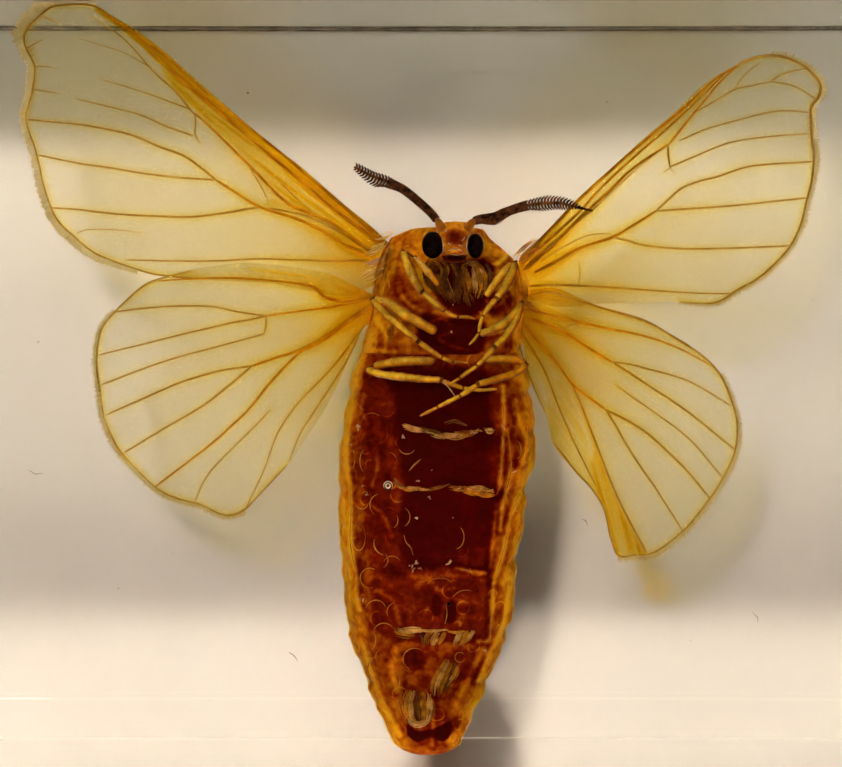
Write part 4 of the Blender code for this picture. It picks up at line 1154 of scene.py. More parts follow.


# Lines that show on the body, over the picture: folds of the skin (radius, line), rims of single
# eggs, painted bright as light bent at their shells (middle x, y, half width, half height, from and
# to in degrees, clockwise from the right, radius), crumbs (x, y, radius, count) and pale glints that
# ride higher than the skin (radius, height, line)

folds = [
    (.035, [(504, 390), (503, 427), (502, 459), (500, 485), (497, 494)]),
    (.03, [(508, 430), (511, 467), (505, 496), (502, 512), (500, 530)]),
    (.03, [(520, 493), (512, 512), (508, 530), (502, 556), (494, 582)]),
    (.03, [(493, 584), (492, 600), (491, 620), (489, 640), (478, 641)]),
    (.03, [(456, 568), (470, 571), (483, 573)]),
    (.03, [(350, 485), (351, 512), (350, 538), (353, 559), (357, 576), (356, 592)]),
    (.03, [(446, 604), (447, 614), (445, 624)]),
    (.035, [(404, 535), (406, 542), (411, 548), (413, 555)]),
    (.05, [(409, 471), (414, 465), (421, 459)]),
    (.03, [(444, 423), (455, 420), (467, 425)]),
]
litEggRims = [
    (407, 445, 9, 9, 20, 160, .036), (401, 517, 9, 10, -70, 70, .034), (359, 537, 6.5, 13.5, 0, 360, .042),
    (386, 543, 12, 12, 100, 200, .050), (370, 578, 9.5, 10, 60, 300, .040),
    (455, 537, 9, 12, -60, 80, .030), (415, 659, 12, 11, 120, 330, .034), (460, 657, 5, 5, 30, 330, .034),
    (352, 459, 3, 9, 0, 360, .034), (365, 461, 5, 11, 100, 260, .030), (344, 531, 3, 7, 60, 300, .040),
    (372, 425, 11, 12, 180, 320, .024), (380, 505, 10, 11, 120, 260, .028),
    (392, 565, 9, 9, 200, 330, .028), (376, 610, 10, 10, 190, 350, .030),
    (398, 612, 11, 10, 150, 250, .026), (368, 640, 8, 10, -60, 60, .032), (390, 520, 8, 9, -40, 60, .024),
    (440, 585, 12, 7, 180, 350, .026), (466, 600, 13, 10, 200, 300, .026),
    (388, 462, 9, 10, -80, 30, .024), (362, 500, 7, 9, 20, 170, .026), (378, 560, 10, 9, -50, 60, .028),
    (366, 400, 9, 10, 100, 230, .026), (384, 632, 10, 9, 180, 330, .030),
    (376, 668, 8, 11, 110, 260, .034), (392, 680, 8, 12, -70, 60, .030), (352, 574, 4, 10, 90, 270, .036),
    (516, 450, 5, 9, -80, 80, .034), (512, 486, 6, 9, 100, 260, .030),
]
crumbs = [
    (403, 437, .10, 3), (416, 518, .11, 2), (411, 566, .10, 3), (416, 563, .12, 3), (420, 568, .10, 2),
    (413, 570, .09, 3), (449, 563, .12, 3), (452, 517, .06, 1), (358, 427, .13, 3), (350, 446, .10, 2),
    (515, 471, .10, 2), (504, 427, .10, 2), (418, 482, .07, 2), (363, 600, .10, 2), (357, 598, .08, 2),
    (430, 497, .08, 3), (486, 650, .09, 2), (433, 470, .05, 1), (367, 495, .07, 3), (363, 485, .06, 3),
]
# the glints are mostly painted highlights, pale strokes of light along the legs
glints = [
    (.050, 13.75, [(414, 257), (418, 260), (422, 265)]),
    (.045, 13.80, [(423, 266), (428, 273), (432, 279)]),
    (.050, 13.90, [(443, 381), (449, 388), (455, 396)]),
    (.045, 13.55, [(380, 300), (386, 302), (392, 305)]),
    (.040, 13.60, [(409, 268), (412, 274), (415, 280)]), (.040, 13.60, [(508, 268), (505, 276)]),
    (.050, 13.90, [(496, 294), (498, 297)]), (.030, 14.00, [(453, 304), (453, 306)]),
    (.045, 13.50, [(451, 331), (452, 333)]), (.035, 13.40, [(376, 376), (392, 379), (406, 380)]),
]
markLooks = {
    "painted edge light": (0.4, 0.1, (0.86, 0.46, 0.02), (1.0, 0.80, 0.30), 700.0),
    "amber fold": (0.4, 0.1, (0.30, 0.085, 0.006), (0.66, 0.33, 0.04), 1200.0),
    "lit egg rim": (0.4, 0.1, (0.30, 0.06, 0.002), (0.85, 0.40, 0.04), 900.0),
    "pale crumb and glint": (0.5, 0.2, (0.45, 0.17, 0.04), (0.90, 0.62, 0.32), 3000.0),
    "dark pit": (0.5, 0.1, (0.006, 0.001, 0.001), (0.03, 0.004, 0.002), 3000.0),
}
markShape = {
    "abdomenRows": (362, 748, 4), "thoraxRows": (262, 348, 4), "rowReach": 1.6,
    "edgeRadius": (.035, .075), "foldSunk": 0.01, "arcPoints": 17, "crumbHeight": 13.2,
    "crumbReach": (0.5, 1.1), "crumbPlay": 1.5,
}
pit = {"x": 449, "y": 604, "lift": 0.02, "radius": 0.10}


def edgeLine(piece, rows, right):
    # the outermost spots of a body as the camera sees it, one for each of the picture's rows
    spots = corners(piece)
    seen = inPicture(spots / mm)
    line = []
    for row in rows:
        near = np.flatnonzero(np.abs(seen[:, 1] - row) < markShape["rowReach"])
        if len(near):
            best = near[np.argmax(seen[near, 0])] if right else near[np.argmin(seen[near, 0])]
            line.append(Vector(spots[best]))
    return line


def makeEdgeLight(mass, node, dice, finish):
    # painted light: the bright line along both sides of a body, where light shines through its thin edges
    lines = []
    for right in (False, True):
        line = edgeLine(mass, range(*markShape[node + "Rows"]), right)
        lines.append((line, [dice.uniform(*markShape["edgeRadius"]) for _ in line]))
    settle(strands(lines), node + "Edge", node + "_skin", [node], finish)


def litEggArc(tree, x, y, across, along, start, end, radius):
    turns = np.radians(np.linspace(start, end, markShape["arcPoints"]))
    arc = [(x + across * math.cos(turn), y + along * math.sin(turn)) for turn in turns]
    return drawnOn(tree, arc, (radius * 0.4, radius, radius * 0.4), -radius * 0.4)


def crumbLine(tree, x, y, radius, dice):
    turn = dice.uniform(0, math.pi)
    reach = radius / pixelSize(markShape["crumbHeight"]) * dice.uniform(*markShape["crumbReach"])
    play = markShape["crumbPlay"]
    middle = (x + dice.uniform(-play, play), y + dice.uniform(-play, play))
    way = (math.cos(turn) * reach, math.sin(turn) * reach)
    ends = [(middle[0] + side * way[0], middle[1] + side * way[1]) for side in (-1, 1)]
    return drawnOn(tree, [ends[0], middle, ends[1]], (radius * 0.15, radius * 0.4, radius * 0.15))


def makeMarks(tree, abdomen, thorax):
    dice = random.Random(23)
    looks = {name: mottledFinish(name, *look) for name, look in markLooks.items()}
    makeEdgeLight(abdomen, "abdomen", dice, looks["painted edge light"])
    makeEdgeLight(thorax, "thorax", dice, looks["painted edge light"])
    foldLines = [drawnOn(tree, line, (radius * 0.3, radius, radius * 0.3), markShape["foldSunk"])
                 for radius, line in folds]
    litRimLines = [litEggArc(tree, *rim) for rim in litEggRims]
    crumbLines = [crumbLine(tree, x, y, radius, dice) for x, y, radius, count in crumbs
                  for _ in range(count)]
    for name, lines, look in (("skinFolds", foldLines, "amber fold"), ("litEggRims", litRimLines, "lit egg rim"),
                              ("crumbs", crumbLines, "pale crumb and glint")):
        settle(strands(lines), name, "abdomen_skin", ["abdomen"], looks[look])
    lines = []
    for radius, height, line in glints:
        points = [place(x, y, height) for x, y in smoothLine(line, 2.0)]
        lines.append((points, taper(len(points), radius, radius * 0.4)))
    settle(strands(lines), "glints", "thorax_skin", ["thorax"], looks["pale crumb and glint"])
    hole = makeBall(24, 16, pit["radius"] * mm, onto(tree, pit["x"], pit["y"], pit["lift"]))
    settle(hole, "pit", "abdomen_skin", ["abdomen"], looks["dark pit"])


bubbleShape = {"x": 388, "y": 486, "lift": 0.30, "radius": 0.22, "rimReach": 0.185, "rimRadius": 0.05}


def makeBubble(tree):
    # a bubble of air caught over the belly, with a white ring around its middle as a painted highlight of
    # its bright edge
    spot = onto(tree, bubbleShape["x"], bubbleShape["y"], bubbleShape["lift"])
    bubble = makeBall(48, 32, bubbleShape["radius"] * mm, spot)
    air = newFinish("air", {"Base Color": (1, 1, 1, 1), "Roughness": 0.0, "IOR": 1 / resinIndex,
                            "Transmission Weight": 1.0})
    settle(bubble, "bubble", "clear_resin", ["block_upper"], air)
    middle = bubble.data.vertices[0].co.copy()
    middle.z -= bubbleShape["radius"] * mm
    clearSelection()
    bpy.ops.mesh.primitive_torus_add(
        major_radius=bubbleShape["rimReach"] * mm, minor_radius=bubbleShape["rimRadius"] * mm,
        major_segments=48, minor_segments=8, location=middle)
    rim = bpy.context.object
    bpy.ops.object.transform_apply(location=True, rotation=False, scale=False)
    bpy.ops.object.shade_smooth()
    white = mottledFinish("bubble rim highlight", 0.4, 0.3, (0.85, 0.68, 0.56), (1.0, 0.96, 0.90), 4000.0)
    settle(rim, "bubbleRimHighlight", "clear_resin", ["block_upper"], white)


# Specks caught in the resin (x, y, height, size in pixels) and bits of hair (radius, height, line)

specks = {
    "white": [
        (61, 25, 11, 1.6), (53, 68, 11, 1.2), (116, 77, 11, 1.8), (60, 95, 11, 1.2),
        (181, 174, 11, 1.2), (96, 60, 11, 1.0), (142, 92, 11, 1.1), (128, 205, 11, 1.0),
        (712, 128, 11, 1.0), (644, 262, 11, 1.0),
    ],
    "dark": [
        (248, 93, 15, 2.0), (100, 116, 12, 1.3), (106, 203, 12, 1.2), (243, 230, 12, 1.1),
        (607, 102, 14, 1.5), (39, 342, 3, 1.5), (119, 588, 1, 1.4), (173, 553, 1, 1.3),
        (56, 640, 1, 1.2), (776, 356, 1, 1.2), (210, 700, 2, 1.0), (690, 640, 1, 1.2),
        (300, 140, 6, 1.0), (812, 300, 4, 1.1),
    ],
}
looseHairs = [
    (.022, 1.0, [(289, 652), (294, 655), (298, 661)]),
    (.018, 2.0, [(582, 519), (586, 521), (588, 526)]),
    (.016, 1.5, [(30, 470), (36, 474), (44, 473)]),
    (.016, 1.0, [(752, 612), (757, 617), (757, 623)]),
]
speckShape = {"strands": 3, "reach": (0.2, 0.6), "shares": (0.3, 0.7, 0.3)}


def makeSpecks():
    dice = random.Random(31)
    looks = {
        "white": mottledFinish("white speck", 0.4, 0.3, (0.85, 0.80, 0.70), (1.0, 1.0, 0.98), 4000.0),
        "dark": mottledFinish("dark speck", 0.7, 0.1, (0.03, 0.02, 0.012), (0.10, 0.07, 0.04), 4000.0),
    }
    for look, spots in specks.items():
        lines = []
        for x, y, height, size in spots:
            radius = size * 0.5 * pixelSize(height)
            radii = [radius * share for share in speckShape["shares"]]
            for _ in range(speckShape["strands"]):
                turn = dice.uniform(0, math.pi)
                reach = size * dice.uniform(*speckShape["reach"])
                way = (math.cos(turn) * reach, math.sin(turn) * reach)
                points = [place(x + side * way[0], y + side * way[1], height) for side in (-1, 0, 1)]
                lines.append((points, radii))
        if look == "dark":
            lines += [([place(x, y, height) for x, y in line], (radius * 0.6, radius, radius * 0.4))
                      for radius, height, line in looseHairs]
        settle(strands(lines), look + "Specks", "clear_resin", ["block_lower", "block_upper"],
               looks[look])


# The head: eyes as (middle, half sizes), rims and painted highlights as (radius, line)

eyes = [((0.60, 7.12, 12.75), (0.56, 0.70, 0.80)), ((2.80, 7.07, 12.75), (0.43, 0.65, 0.76))]
faceLook = {
    "base": 0.84, "unrest": 0.24, "litRims": [], "ridges": [],
    "zones": [
        (0.92, 3, [(441, 224), (455, 221), (470, 224), (466, 231), (455, 229), (445, 231)]),
        (0.50, 4, [(446, 232), (455, 230), (464, 232), (465, 243), (455, 245), (446, 243)]),
        (0.38, 3, [(451, 234), (457, 233), (461, 238), (457, 242), (451, 241)]),
        (0.95, 3, [(447, 250), (453, 247), (461, 250), (459, 253), (449, 253)]),
        (0.03, 2, [(441, 256), (455, 255), (468, 256), (467, 260), (455, 261), (442, 260)]),
        (0.35, 2, [(444, 261), (466, 261), (464, 266), (446, 266)]),
    ],
}
eyeRimsAndHighlights = [
    (.050, [(437, 231), (441, 238), (443.5, 246), (442.5, 254), (440, 258)]),
    (.045, [(470.5, 232), (467.5, 239), (466.5, 247), (467.5, 254), (469, 258)]),
    # painted highlights: the stroke across the lower face below, and the first short stroke after it
    (.060, [(447, 251), (452, 249), (457, 249), (462, 251)]),
    (.050, [(448, 243), (451, 245)]), (.040, [(462, 241), (465, 237)]), (.040, [(458, 245), (462, 246)]),
    (.040, [(444, 229), (447, 232)]), (.030, [(450, 254), (458, 255), (464, 253)]),
]
scapes = {"antenna_left": [(444, 230, 13.0), (440, 225, 13.0), (437, 219, 12.75)],
          "antenna_right": [(466, 230, 13.0), (470, 225, 13.0), (474, 220, 12.75)]}
headStops = [(0.0, (0.03, 0.001, 0.001)), (0.4, (0.24, 0.013, 0.001)), (0.7, (0.62, 0.13, 0.004)),
             (1.0, (0.93, 0.38, 0.012))]
headShape = {
    "frontFrom": 12.2, "unrest": 0.06, "unrestScale": 4.0,
    "dents": [(455, 238, 8, 6, 0.15), (454, 256.5, 12, 2.2, -0.30)],  # x, y, half sizes, rise
    "scapeRadii": (.20, .17, .13), "rimSunk": 0.02,
}


def makeHead():
    skull = makeRounded(headSections, 110, 120, (0.15, 0.2), skullRelief)
    paintTones(skull, faceLook)
    finish = newFinish("rust face", {"Roughness": 0.4, "Specular IOR Level": 0.05})
    ramp = blendByValue(finish, "tone", headStops)
    join(finish.node_tree, (ramp, "Color", shaderOf(finish), "Base Color"))
    settle(skull, "face", "head_skin", ["head"], finish)
    black = mottledFinish("eye", 0.22, 0.05, (0.0015, 0.0008, 0.001), (0.010, 0.0015, 0.0015), 2500.0)
    for side, (middle, half) in zip("LR", eyes):
        eye = makeBall(64, 40)
        setCorners(eye, (corners(eye) * np.array(half) + np.array(middle)) * mm)
        settle(eye, "eye" + side, "head_skin", ["head"], black)
    cream = mottledFinish("eye rim and highlight", 0.5, 0.2, (0.55, 0.22, 0.08), (0.98, 0.70, 0.45), 2500.0)
    tree = treeOf(skull)
    lines = [drawnOn(tree, line, (radius * 0.5, radius, radius * 0.5), headShape["rimSunk"])
             for radius, line in eyeRimsAndHighlights]
    settle(strands(lines), "eyeRimsAndHighlights", "head_skin", ["head"], cream)
    orange = mottledFinish("orange scape", 0.4, 0.2, (0.30, 0.055, 0.001), (0.68, 0.22, 0.004), 1800.0)
    for node, line in scapes.items():
        limb = limbLine(*headShape["scapeRadii"], line)
        settle(strands([limb], sides=4), node + "Scape", "antenna", [node], orange)
    return skull


def skullRelief(spots):
    # a raised brow and a sunken mouth on the front, and a little unevenness all over
    seen = inPicture(spots)
    relief = np.zeros(len(spots))
    for x, y, across, along, rise in headShape["dents"]:
        gap = ((seen[:, 0] - x) / across) ** 2 + ((seen[:, 1] - y) / along) ** 2
        relief += rise * np.exp(-gap) * (spots[:, 2] > headShape["frontFrom"])
    unrest = [noise.noise(Vector(spot) * headShape["unrestScale"]) for spot in spots]
    return relief + np.array(unrest) * headShape["unrest"]


# The legs: (start radius, middle radius, end radius, points as x, y, height)

legs = {}
legs["foreleg_left"] = [
    (.10, .15, .10, [(438, 285, 13.4), (428, 272, 13.5), (416, 258, 13.2)]),
    (.17, .21, .15, [(404, 251, 12.9), (408, 265, 13.1), (414, 279, 13.3), (422, 292, 13.5)]),
    (.12, .14, .09, [(423, 292, 13.5), (430, 299, 13.6), (437, 305, 13.7), (444, 311, 13.7)]),
    (.08, .09, .07, [(444, 311, 13.7), (451, 315, 13.7), (458, 317, 13.7)]),
    (.07, .07, .03, [(458, 317, 13.7), (467, 317, 13.7), (476, 319, 13.6)]),
]
legs["foreleg_right"] = [
    (.13, .17, .13, [(486, 296, 13.3), (495, 284, 13.4), (504, 272, 13.3), (512, 264, 13.0)]),
    (.15, .19, .13, [(515, 263, 13.0), (511, 275, 13.3), (504, 288, 13.6), (497, 298, 13.8)]),
    (.11, .11, .08, [(496, 299, 13.8), (489, 307, 13.9), (483, 316, 14.0)]),
    (.08, .08, .06, [(483, 316, 14.0), (480, 325, 14.1), (479, 333, 14.2)]),
    (.06, .06, .03, [(479, 333, 14.2), (474, 340, 14.2), (469, 345, 14.2)]),
]
legs["midleg_left"] = [
    (.17, .24, .17, [(436, 332, 13.2), (420, 323, 13.3), (402, 313, 13.2), (388, 303, 12.9),
        (375, 299, 12.6)]),
    (.13, .16, .12, [(372, 300, 12.6), (384, 312, 13.0), (400, 326, 13.3), (418, 341, 13.5)]),
    (.11, .11, .08, [(419, 342, 13.5), (430, 350, 13.5), (442, 358, 13.5)]),
    (.08, .08, .06, [(442, 358, 13.5), (453, 362, 13.5)]),
    (.06, .06, .03, [(453, 362, 13.5), (460, 362, 13.4), (468, 363, 13.4)]),
]
legs["midleg_right"] = [
    (.15, .20, .15, [(480, 334, 13.2), (494, 329, 13.2), (508, 321, 13.1), (520, 307, 12.7)]),
    (.13, .16, .12, [(521, 303, 12.6), (517, 318, 13.0), (507, 334, 13.4), (495, 347, 13.7)]),
    (.11, .11, .08, [(494, 348, 13.8), (486, 357, 14.0), (477, 366, 14.2)]),
    (.08, .09, .07, [(477, 366, 14.2), (468, 372, 14.2), (460, 378, 14.3)]),
    (.06, .06, .03, [(460, 378, 14.3), (455, 381, 14.3), (450, 384, 14.3)]),
]
legs["hindleg_left"] = [
    (.16, .20, .15, [(434, 361, 13.0), (416, 361, 12.9), (396, 362, 12.8), (374, 366, 12.5)]),
    (.14, .17, .13, [(367, 369, 12.3), (380, 374, 12.8), (402, 377, 13.1), (422, 379, 13.3),
        (441, 380, 13.4)]),
    (.10, .10, .08, [(442, 381, 13.4), (453, 385, 13.4), (463, 388, 13.4)]),
    (.08, .08, .05, [(463, 388, 13.4), (480, 390, 13.4), (497, 389, 13.4)]),
]
legs["hindleg_right"] = [
    (.14, .18, .14, [(486, 360, 13.1), (500, 359, 12.9), (514, 360, 12.7), (524, 363, 12.4)]),
    (.14, .16, .12, [(526, 365, 12.4), (518, 372, 12.8), (504, 377, 13.2), (490, 381, 13.6),
        (478, 384, 13.9)]),
    (.10, .11, .09, [(477, 385, 13.9), (468, 391, 14.0), (460, 396, 14.1)]),
    (.09, .09, .07, [(460, 396, 14.1), (448, 402, 14.1), (438, 407, 14.0)]),
    (.06, .07, .04, [(438, 407, 14.0), (428, 412, 13.9), (420, 416, 13.8)]),
]
limbShape = {"scale": 1.28, "unevenness": 0.22, "noiseScale": 0.23, "endShare": 0.6,
             "light": (-0.34, 0.30, 0.89), "jointReach": 0.12, "jointScale": 1.24, "jointEnd": 0.75}
# colours from a leg's painted shaded side to its painted highlight
legLightShadeStops = [(0.0, (0.15, 0.021, 0.001)), (0.50, (0.28, 0.055, 0.001)), (0.70, (0.72, 0.23, 0.003)),
              (0.86, (0.98, 0.44, 0.008)), (0.98, (1.0, 0.72, 0.05))]


def limbLine(start, middle, end, points):
    # one segment of a limb, a little uneven and drawn in at both ends
    line = smoothLine(points, 2.0)
    radii = []
    for index, spot in enumerate(line):
        radius = widthAt(index / (len(line) - 1), start, middle, end) * limbShape["scale"]
        wave = noise.noise(Vector(spot) * limbShape["noiseScale"])
        radii.append(radius * (1 + limbShape["unevenness"] * wave))
    radii[0] *= limbShape["endShare"]
    radii[-1] *= limbShape["endShare"]
    return [place(*point) for point in line], radii


def litHoneyFinish():
    # painted light and shade: lightest on the side turned to the main light, dark on the far side, and
    # mottled
    finish = newFinish("honey leg", {"Roughness": 0.4, "Specular IOR Level": 0.15})
    patches = addShading(finish, blendByValue(finish, "ridge", legLightShadeStops), 1500.0, (0.50, 0.36, 0.26))
    addRelief(finish, patches, "Height", strength=1.0, depth=0.05)
    return finish


def legJoint(before, after):
    # a short thicker piece from one segment's end to the next one's start
    spot, onward = place(*before[3][-1]), place(*after[3][0])
    run = (place(*after[3][1]) - onward).normalized() * limbShape["jointReach"] * mm
    thick, thin = limbShape["jointScale"], limbShape["jointEnd"]
    return ([spot - run, spot, onward, onward + run],
            [before[2] * thin, before[2] * thick, after[0] * thick, after[0] * thin])


def makeLegs():
    honey = litHoneyFinish()
    dull = mottledFinish("leg joint", 0.5, 0.1, (0.09, 0.018, 0.002), (0.28, 0.085, 0.006), 1500.0)
    # painted light: each leg is painted lighter where its surface faces the main light and darker where it
    # faces away
    light = Vector(limbShape["light"])  # the ridge sits a little towards the picture's upper left
    for node, segments in legs.items():
        piece = strands([limbLine(*segment) for segment in segments], sides=4)
        towardLight = [vertex.normal.dot(light) for vertex in piece.data.vertices]
        setValues(piece, "ridge", 0.5 + 0.5 * np.array(towardLight))
        settle(piece, node + "Limb", "leg", [node], honey)
        joints = [legJoint(before, after) for before, after in zip(segments, segments[1:])]
        settle(strands(joints, sides=3), node + "Joints", "leg", [node], dull)


# The antennae: shaft points as x, y, height, then the barbs' reach above and below along it

antennae = {
    "antenna_left": {
        "shaft": [(438, 222, 12.7), (431, 213, 12.6), (419, 202, 12.5), (404, 190, 12.5), (392, 184, 12.4),
                  (384, 180, 12.4), (372, 176, 12.3), (360, 170, 12.3), (354, 167, 12.3)],
        "above": [(0, 4), (.5, 4.5), (.62, 5), (.8, 5), (.95, 5), (1, 4)],
        "below": [(0, 4), (.5, 4.5), (.6, 6), (.68, 10), (.78, 8), (.9, 5), (1, 2)],
        "openFrom": 0.62,
    },
    "antenna_right": {
        "shaft": [(472, 222, 12.7), (480, 219, 12.6), (494, 217, 12.5), (506, 212, 12.5), (530, 205, 12.4),
                  (557, 203, 12.3), (576, 207, 12.3), (593, 211, 12.3)],
        "above": [(0, 4), (.15, 4.5), (.3, 4.5), (.45, 5), (.6, 7.5), (.8, 5.5), (.9, 1.5), (1, 0.5)],
        "below": [(0, 4), (.15, 8), (.3, 4.5), (.45, 5), (.55, 8), (.75, 6), (.88, 1.5), (1, 0.5)],
        "openFrom": 0.46,
    },
}
combShape = {
    "points": 160, "shaftRadii": (0.13, 0.05), "closeSpacing": 1.7, "openSpacing": 2.9,
    "barb": [(0, 0, 0, 0.075), (0.6, 0.12, 0.05, 0.060), (1, 0.55, -0.02, 0.028)],  # out, on, up, radius
}


def makeBarb(spot, way, run, reach):
    # one barb, from the shaft out and a little onward
    x, y, height = spot
    points = []
    for out, on, up, _ in combShape["barb"]:
        there = np.array((x, y)) + way * reach * out + run * reach * on
        points.append(place(*there, height + up))
    return points, [radius for *_, radius in combShape["barb"]]


def makeAntennae():
    dark = mottledFinish("umber antenna", 0.5, 0.1, (0.018, 0.004, 0.001), (0.20, 0.060, 0.014), 3600.0)
    last = combShape["points"] - 1
    for node, antenna in antennae.items():
        line = evenPoints(antenna["shaft"], combShape["points"])
        lines = [([place(*point) for point in line], taper(len(line), *combShape["shaftRadii"]))]
        length = np.linalg.norm(np.diff(line, axis=0), axis=1).sum()
        close, opened = [max(1, round(combShape[spacing] / length * last))
                         for spacing in ("closeSpacing", "openSpacing")]
        for index in range(2, last - 1):
            share = index / last
            if index % (opened if share > antenna["openFrom"] else close):
                continue
            run = line[index + 1] - line[index - 1]
            run = run[:2] / np.linalg.norm(run[:2])
            side = np.array((run[1], -run[0]))
            if side[1] > 0:
                side = -side
            for barbs, way in (("above", side), ("below", -side)):
                reach = np.interp(share, *zip(*antenna[barbs]))
                lines.append(makeBarb(line[index], way, run, reach))
        settle(strands(lines), node + "Comb", "antenna", [node], dark)


# Hair and scales left on the body, in locks over the picture: (look, hairs, half width, line).
# Braids are (line, half width)

locks = {}
locks["throat"] = ("head", "head_skin", [
    ("brown", 40, 4, [(434, 261), (428, 268), (431, 280), (441, 292)]),
    ("rust", 34, 3.5, [(440, 261), (435, 271), (439, 284), (447, 298)]),
    ("brown", 36, 3, [(446, 261), (444, 273), (446, 286), (452, 300)]),
    ("gold", 10, 1.6, [(431, 261), (437, 264), (441, 270), (440, 278)]),
    ("gold", 9, 1.4, [(437, 259), (444, 263), (448, 269), (447, 276)]),
    ("gold", 10, 1.4, [(428, 268), (432, 277), (438, 285)]),
    ("cream", 7, 0.8, [(446, 276), (450, 286), (454, 296)]),
    ("gold", 12, 1.6, [(451, 262), (455, 271), (459, 279), (459, 288)]),
    ("brown", 40, 3.4, [(455, 262), (459, 274), (459, 286), (458, 302)]),
    ("rust", 26, 2.6, [(464, 268), (462, 278), (464, 290), (466, 300)]),
    ("gold", 30, 2.8, [(463, 264), (465, 270), (468, 280), (470, 292)]),
    ("cream", 26, 2.2, [(464, 266), (470, 262), (476, 266), (480, 278), (481, 288)]),
    ("gold", 40, 3.2, [(469, 261), (476, 264), (482, 272), (484, 284), (479, 297)]),
    ("cream", 20, 1.8, [(472, 268), (474, 278), (476, 288), (475, 296)]),
    ("white", 8, 1.0, [(477, 264), (481, 271), (483, 279)]),
    ("brown", 18, 2.4, [(484, 262), (489, 270), (488, 284), (482, 294)]),
    ("brown", 20, 2.5, [(466, 292), (468, 300), (470, 306)]),
    ("rust", 16, 2.0, [(451, 290), (453, 297), (454, 303)]),
])
locks["firstRow"] = ("abdomen", "abdomen_skin", [
    ("cream", 34, 2.0, [(403, 426), (413, 429), (425, 431)]),
    ("brown", 30, 2.2, [(418, 429), (432, 432), (446, 436)]),
    ("cream", 26, 1.6, [(424, 430), (436, 434), (448, 437)]),
    ("cream", 34, 2.0, [(440, 434), (455, 436), (468, 434)]),
    ("gold", 24, 1.8, [(455, 433), (468, 433), (480, 430)]),
    ("cream", 16, 1.6, [(485, 429), (490, 431), (494, 430)]),
    ("brown", 14, 1.5, [(446, 424), (456, 422), (467, 427)]),
])
locks["secondRow"] = ("abdomen", "abdomen_skin", [
    ("rust", 12, 1.4, [(394, 478), (398, 484), (405, 488)]),
    ("gold", 14, 1.4, [(398, 486), (408, 490), (420, 488)]),
    ("cream", 10, 1.0, [(408, 487), (420, 489), (431, 490)]),
    ("rust", 14, 1.2, [(426, 490), (436, 488), (448, 484)]),
    ("gold", 26, 1.8, [(449, 487), (458, 489), (468, 488)]),
    ("gold", 40, 2.4, [(462, 489), (472, 492), (484, 492)]),
    ("cream", 26, 1.8, [(468, 488), (478, 489), (488, 490)]),
    ("gold", 22, 1.6, [(474, 493), (484, 495), (495, 494)]),
])
locks["thirdRow"] = ("abdomen", "abdomen_skin", [
    ("gold", 30, 2.2, [(395, 631), (404, 633), (414, 635)]),
    ("cream", 22, 1.8, [(398, 630), (408, 631), (420, 630)]),
    ("cream", 18, 1.2, [(414, 630), (430, 631), (446, 630)]),
    ("gold", 30, 2.4, [(432, 631), (428, 637), (427, 644)]),
    ("cream", 30, 2.2, [(438, 631), (435, 638), (433, 645)]),
    ("gold", 26, 2.2, [(444, 632), (442, 638), (438, 644)]),
    ("gold", 14, 1.2, [(446, 631), (456, 632), (464, 631)]),
    ("cream", 26, 2.0, [(462, 631), (458, 637), (454, 644)]),
    ("gold", 26, 2.2, [(468, 631), (464, 638), (460, 645)]),
    ("cream", 22, 2.0, [(474, 631), (469, 637), (464, 642)]),
    ("brown", 20, 2.0, [(420, 634), (424, 640), (424, 646)]),
])
locks["lowerTuft"] = ("abdomen", "abdomen_skin", [
    ("gold", 26, 2.2, [(446, 660), (438, 672), (432, 684), (431, 693)]),
    ("cream", 14, 1.4, [(449, 661), (442, 673), (437, 684), (435, 694)]),
    ("gold", 28, 2.4, [(453, 661), (447, 673), (442, 684), (439, 694)]),
    ("brown", 20, 2.2, [(456, 663), (451, 674), (446, 684), (443, 692)]),
    ("gold", 18, 1.8, [(459, 664), (455, 674), (450, 682)]),
    ("cream", 10, 1.0, [(455, 672), (449, 681), (445, 688)]),
])
locks["tipTuft"] = ("abdomen", "abdomen_skin", [
    ("gold", 34, 3.0, [(408, 690), (404, 700), (405, 712), (410, 721)]),
    ("cream", 26, 2.4, [(413, 691), (410, 702), (411, 713), (415, 723)]),
    ("brown", 22, 2.4, [(418, 690), (416, 702), (417, 713), (419, 723)]),
    ("gold", 34, 2.8, [(423, 691), (423, 702), (423, 713), (424, 723)]),
    ("cream", 26, 2.2, [(428, 694), (429, 704), (428, 714), (426, 722)]),
    ("cream", 40, 1.8, [(407, 716), (412, 722), (420, 724), (428, 720)]),
    ("white", 26, 1.2, [(409, 720), (416, 724), (426, 722)]),
    ("rust", 16, 1.6, [(431, 698), (432, 710), (430, 720)]),
])
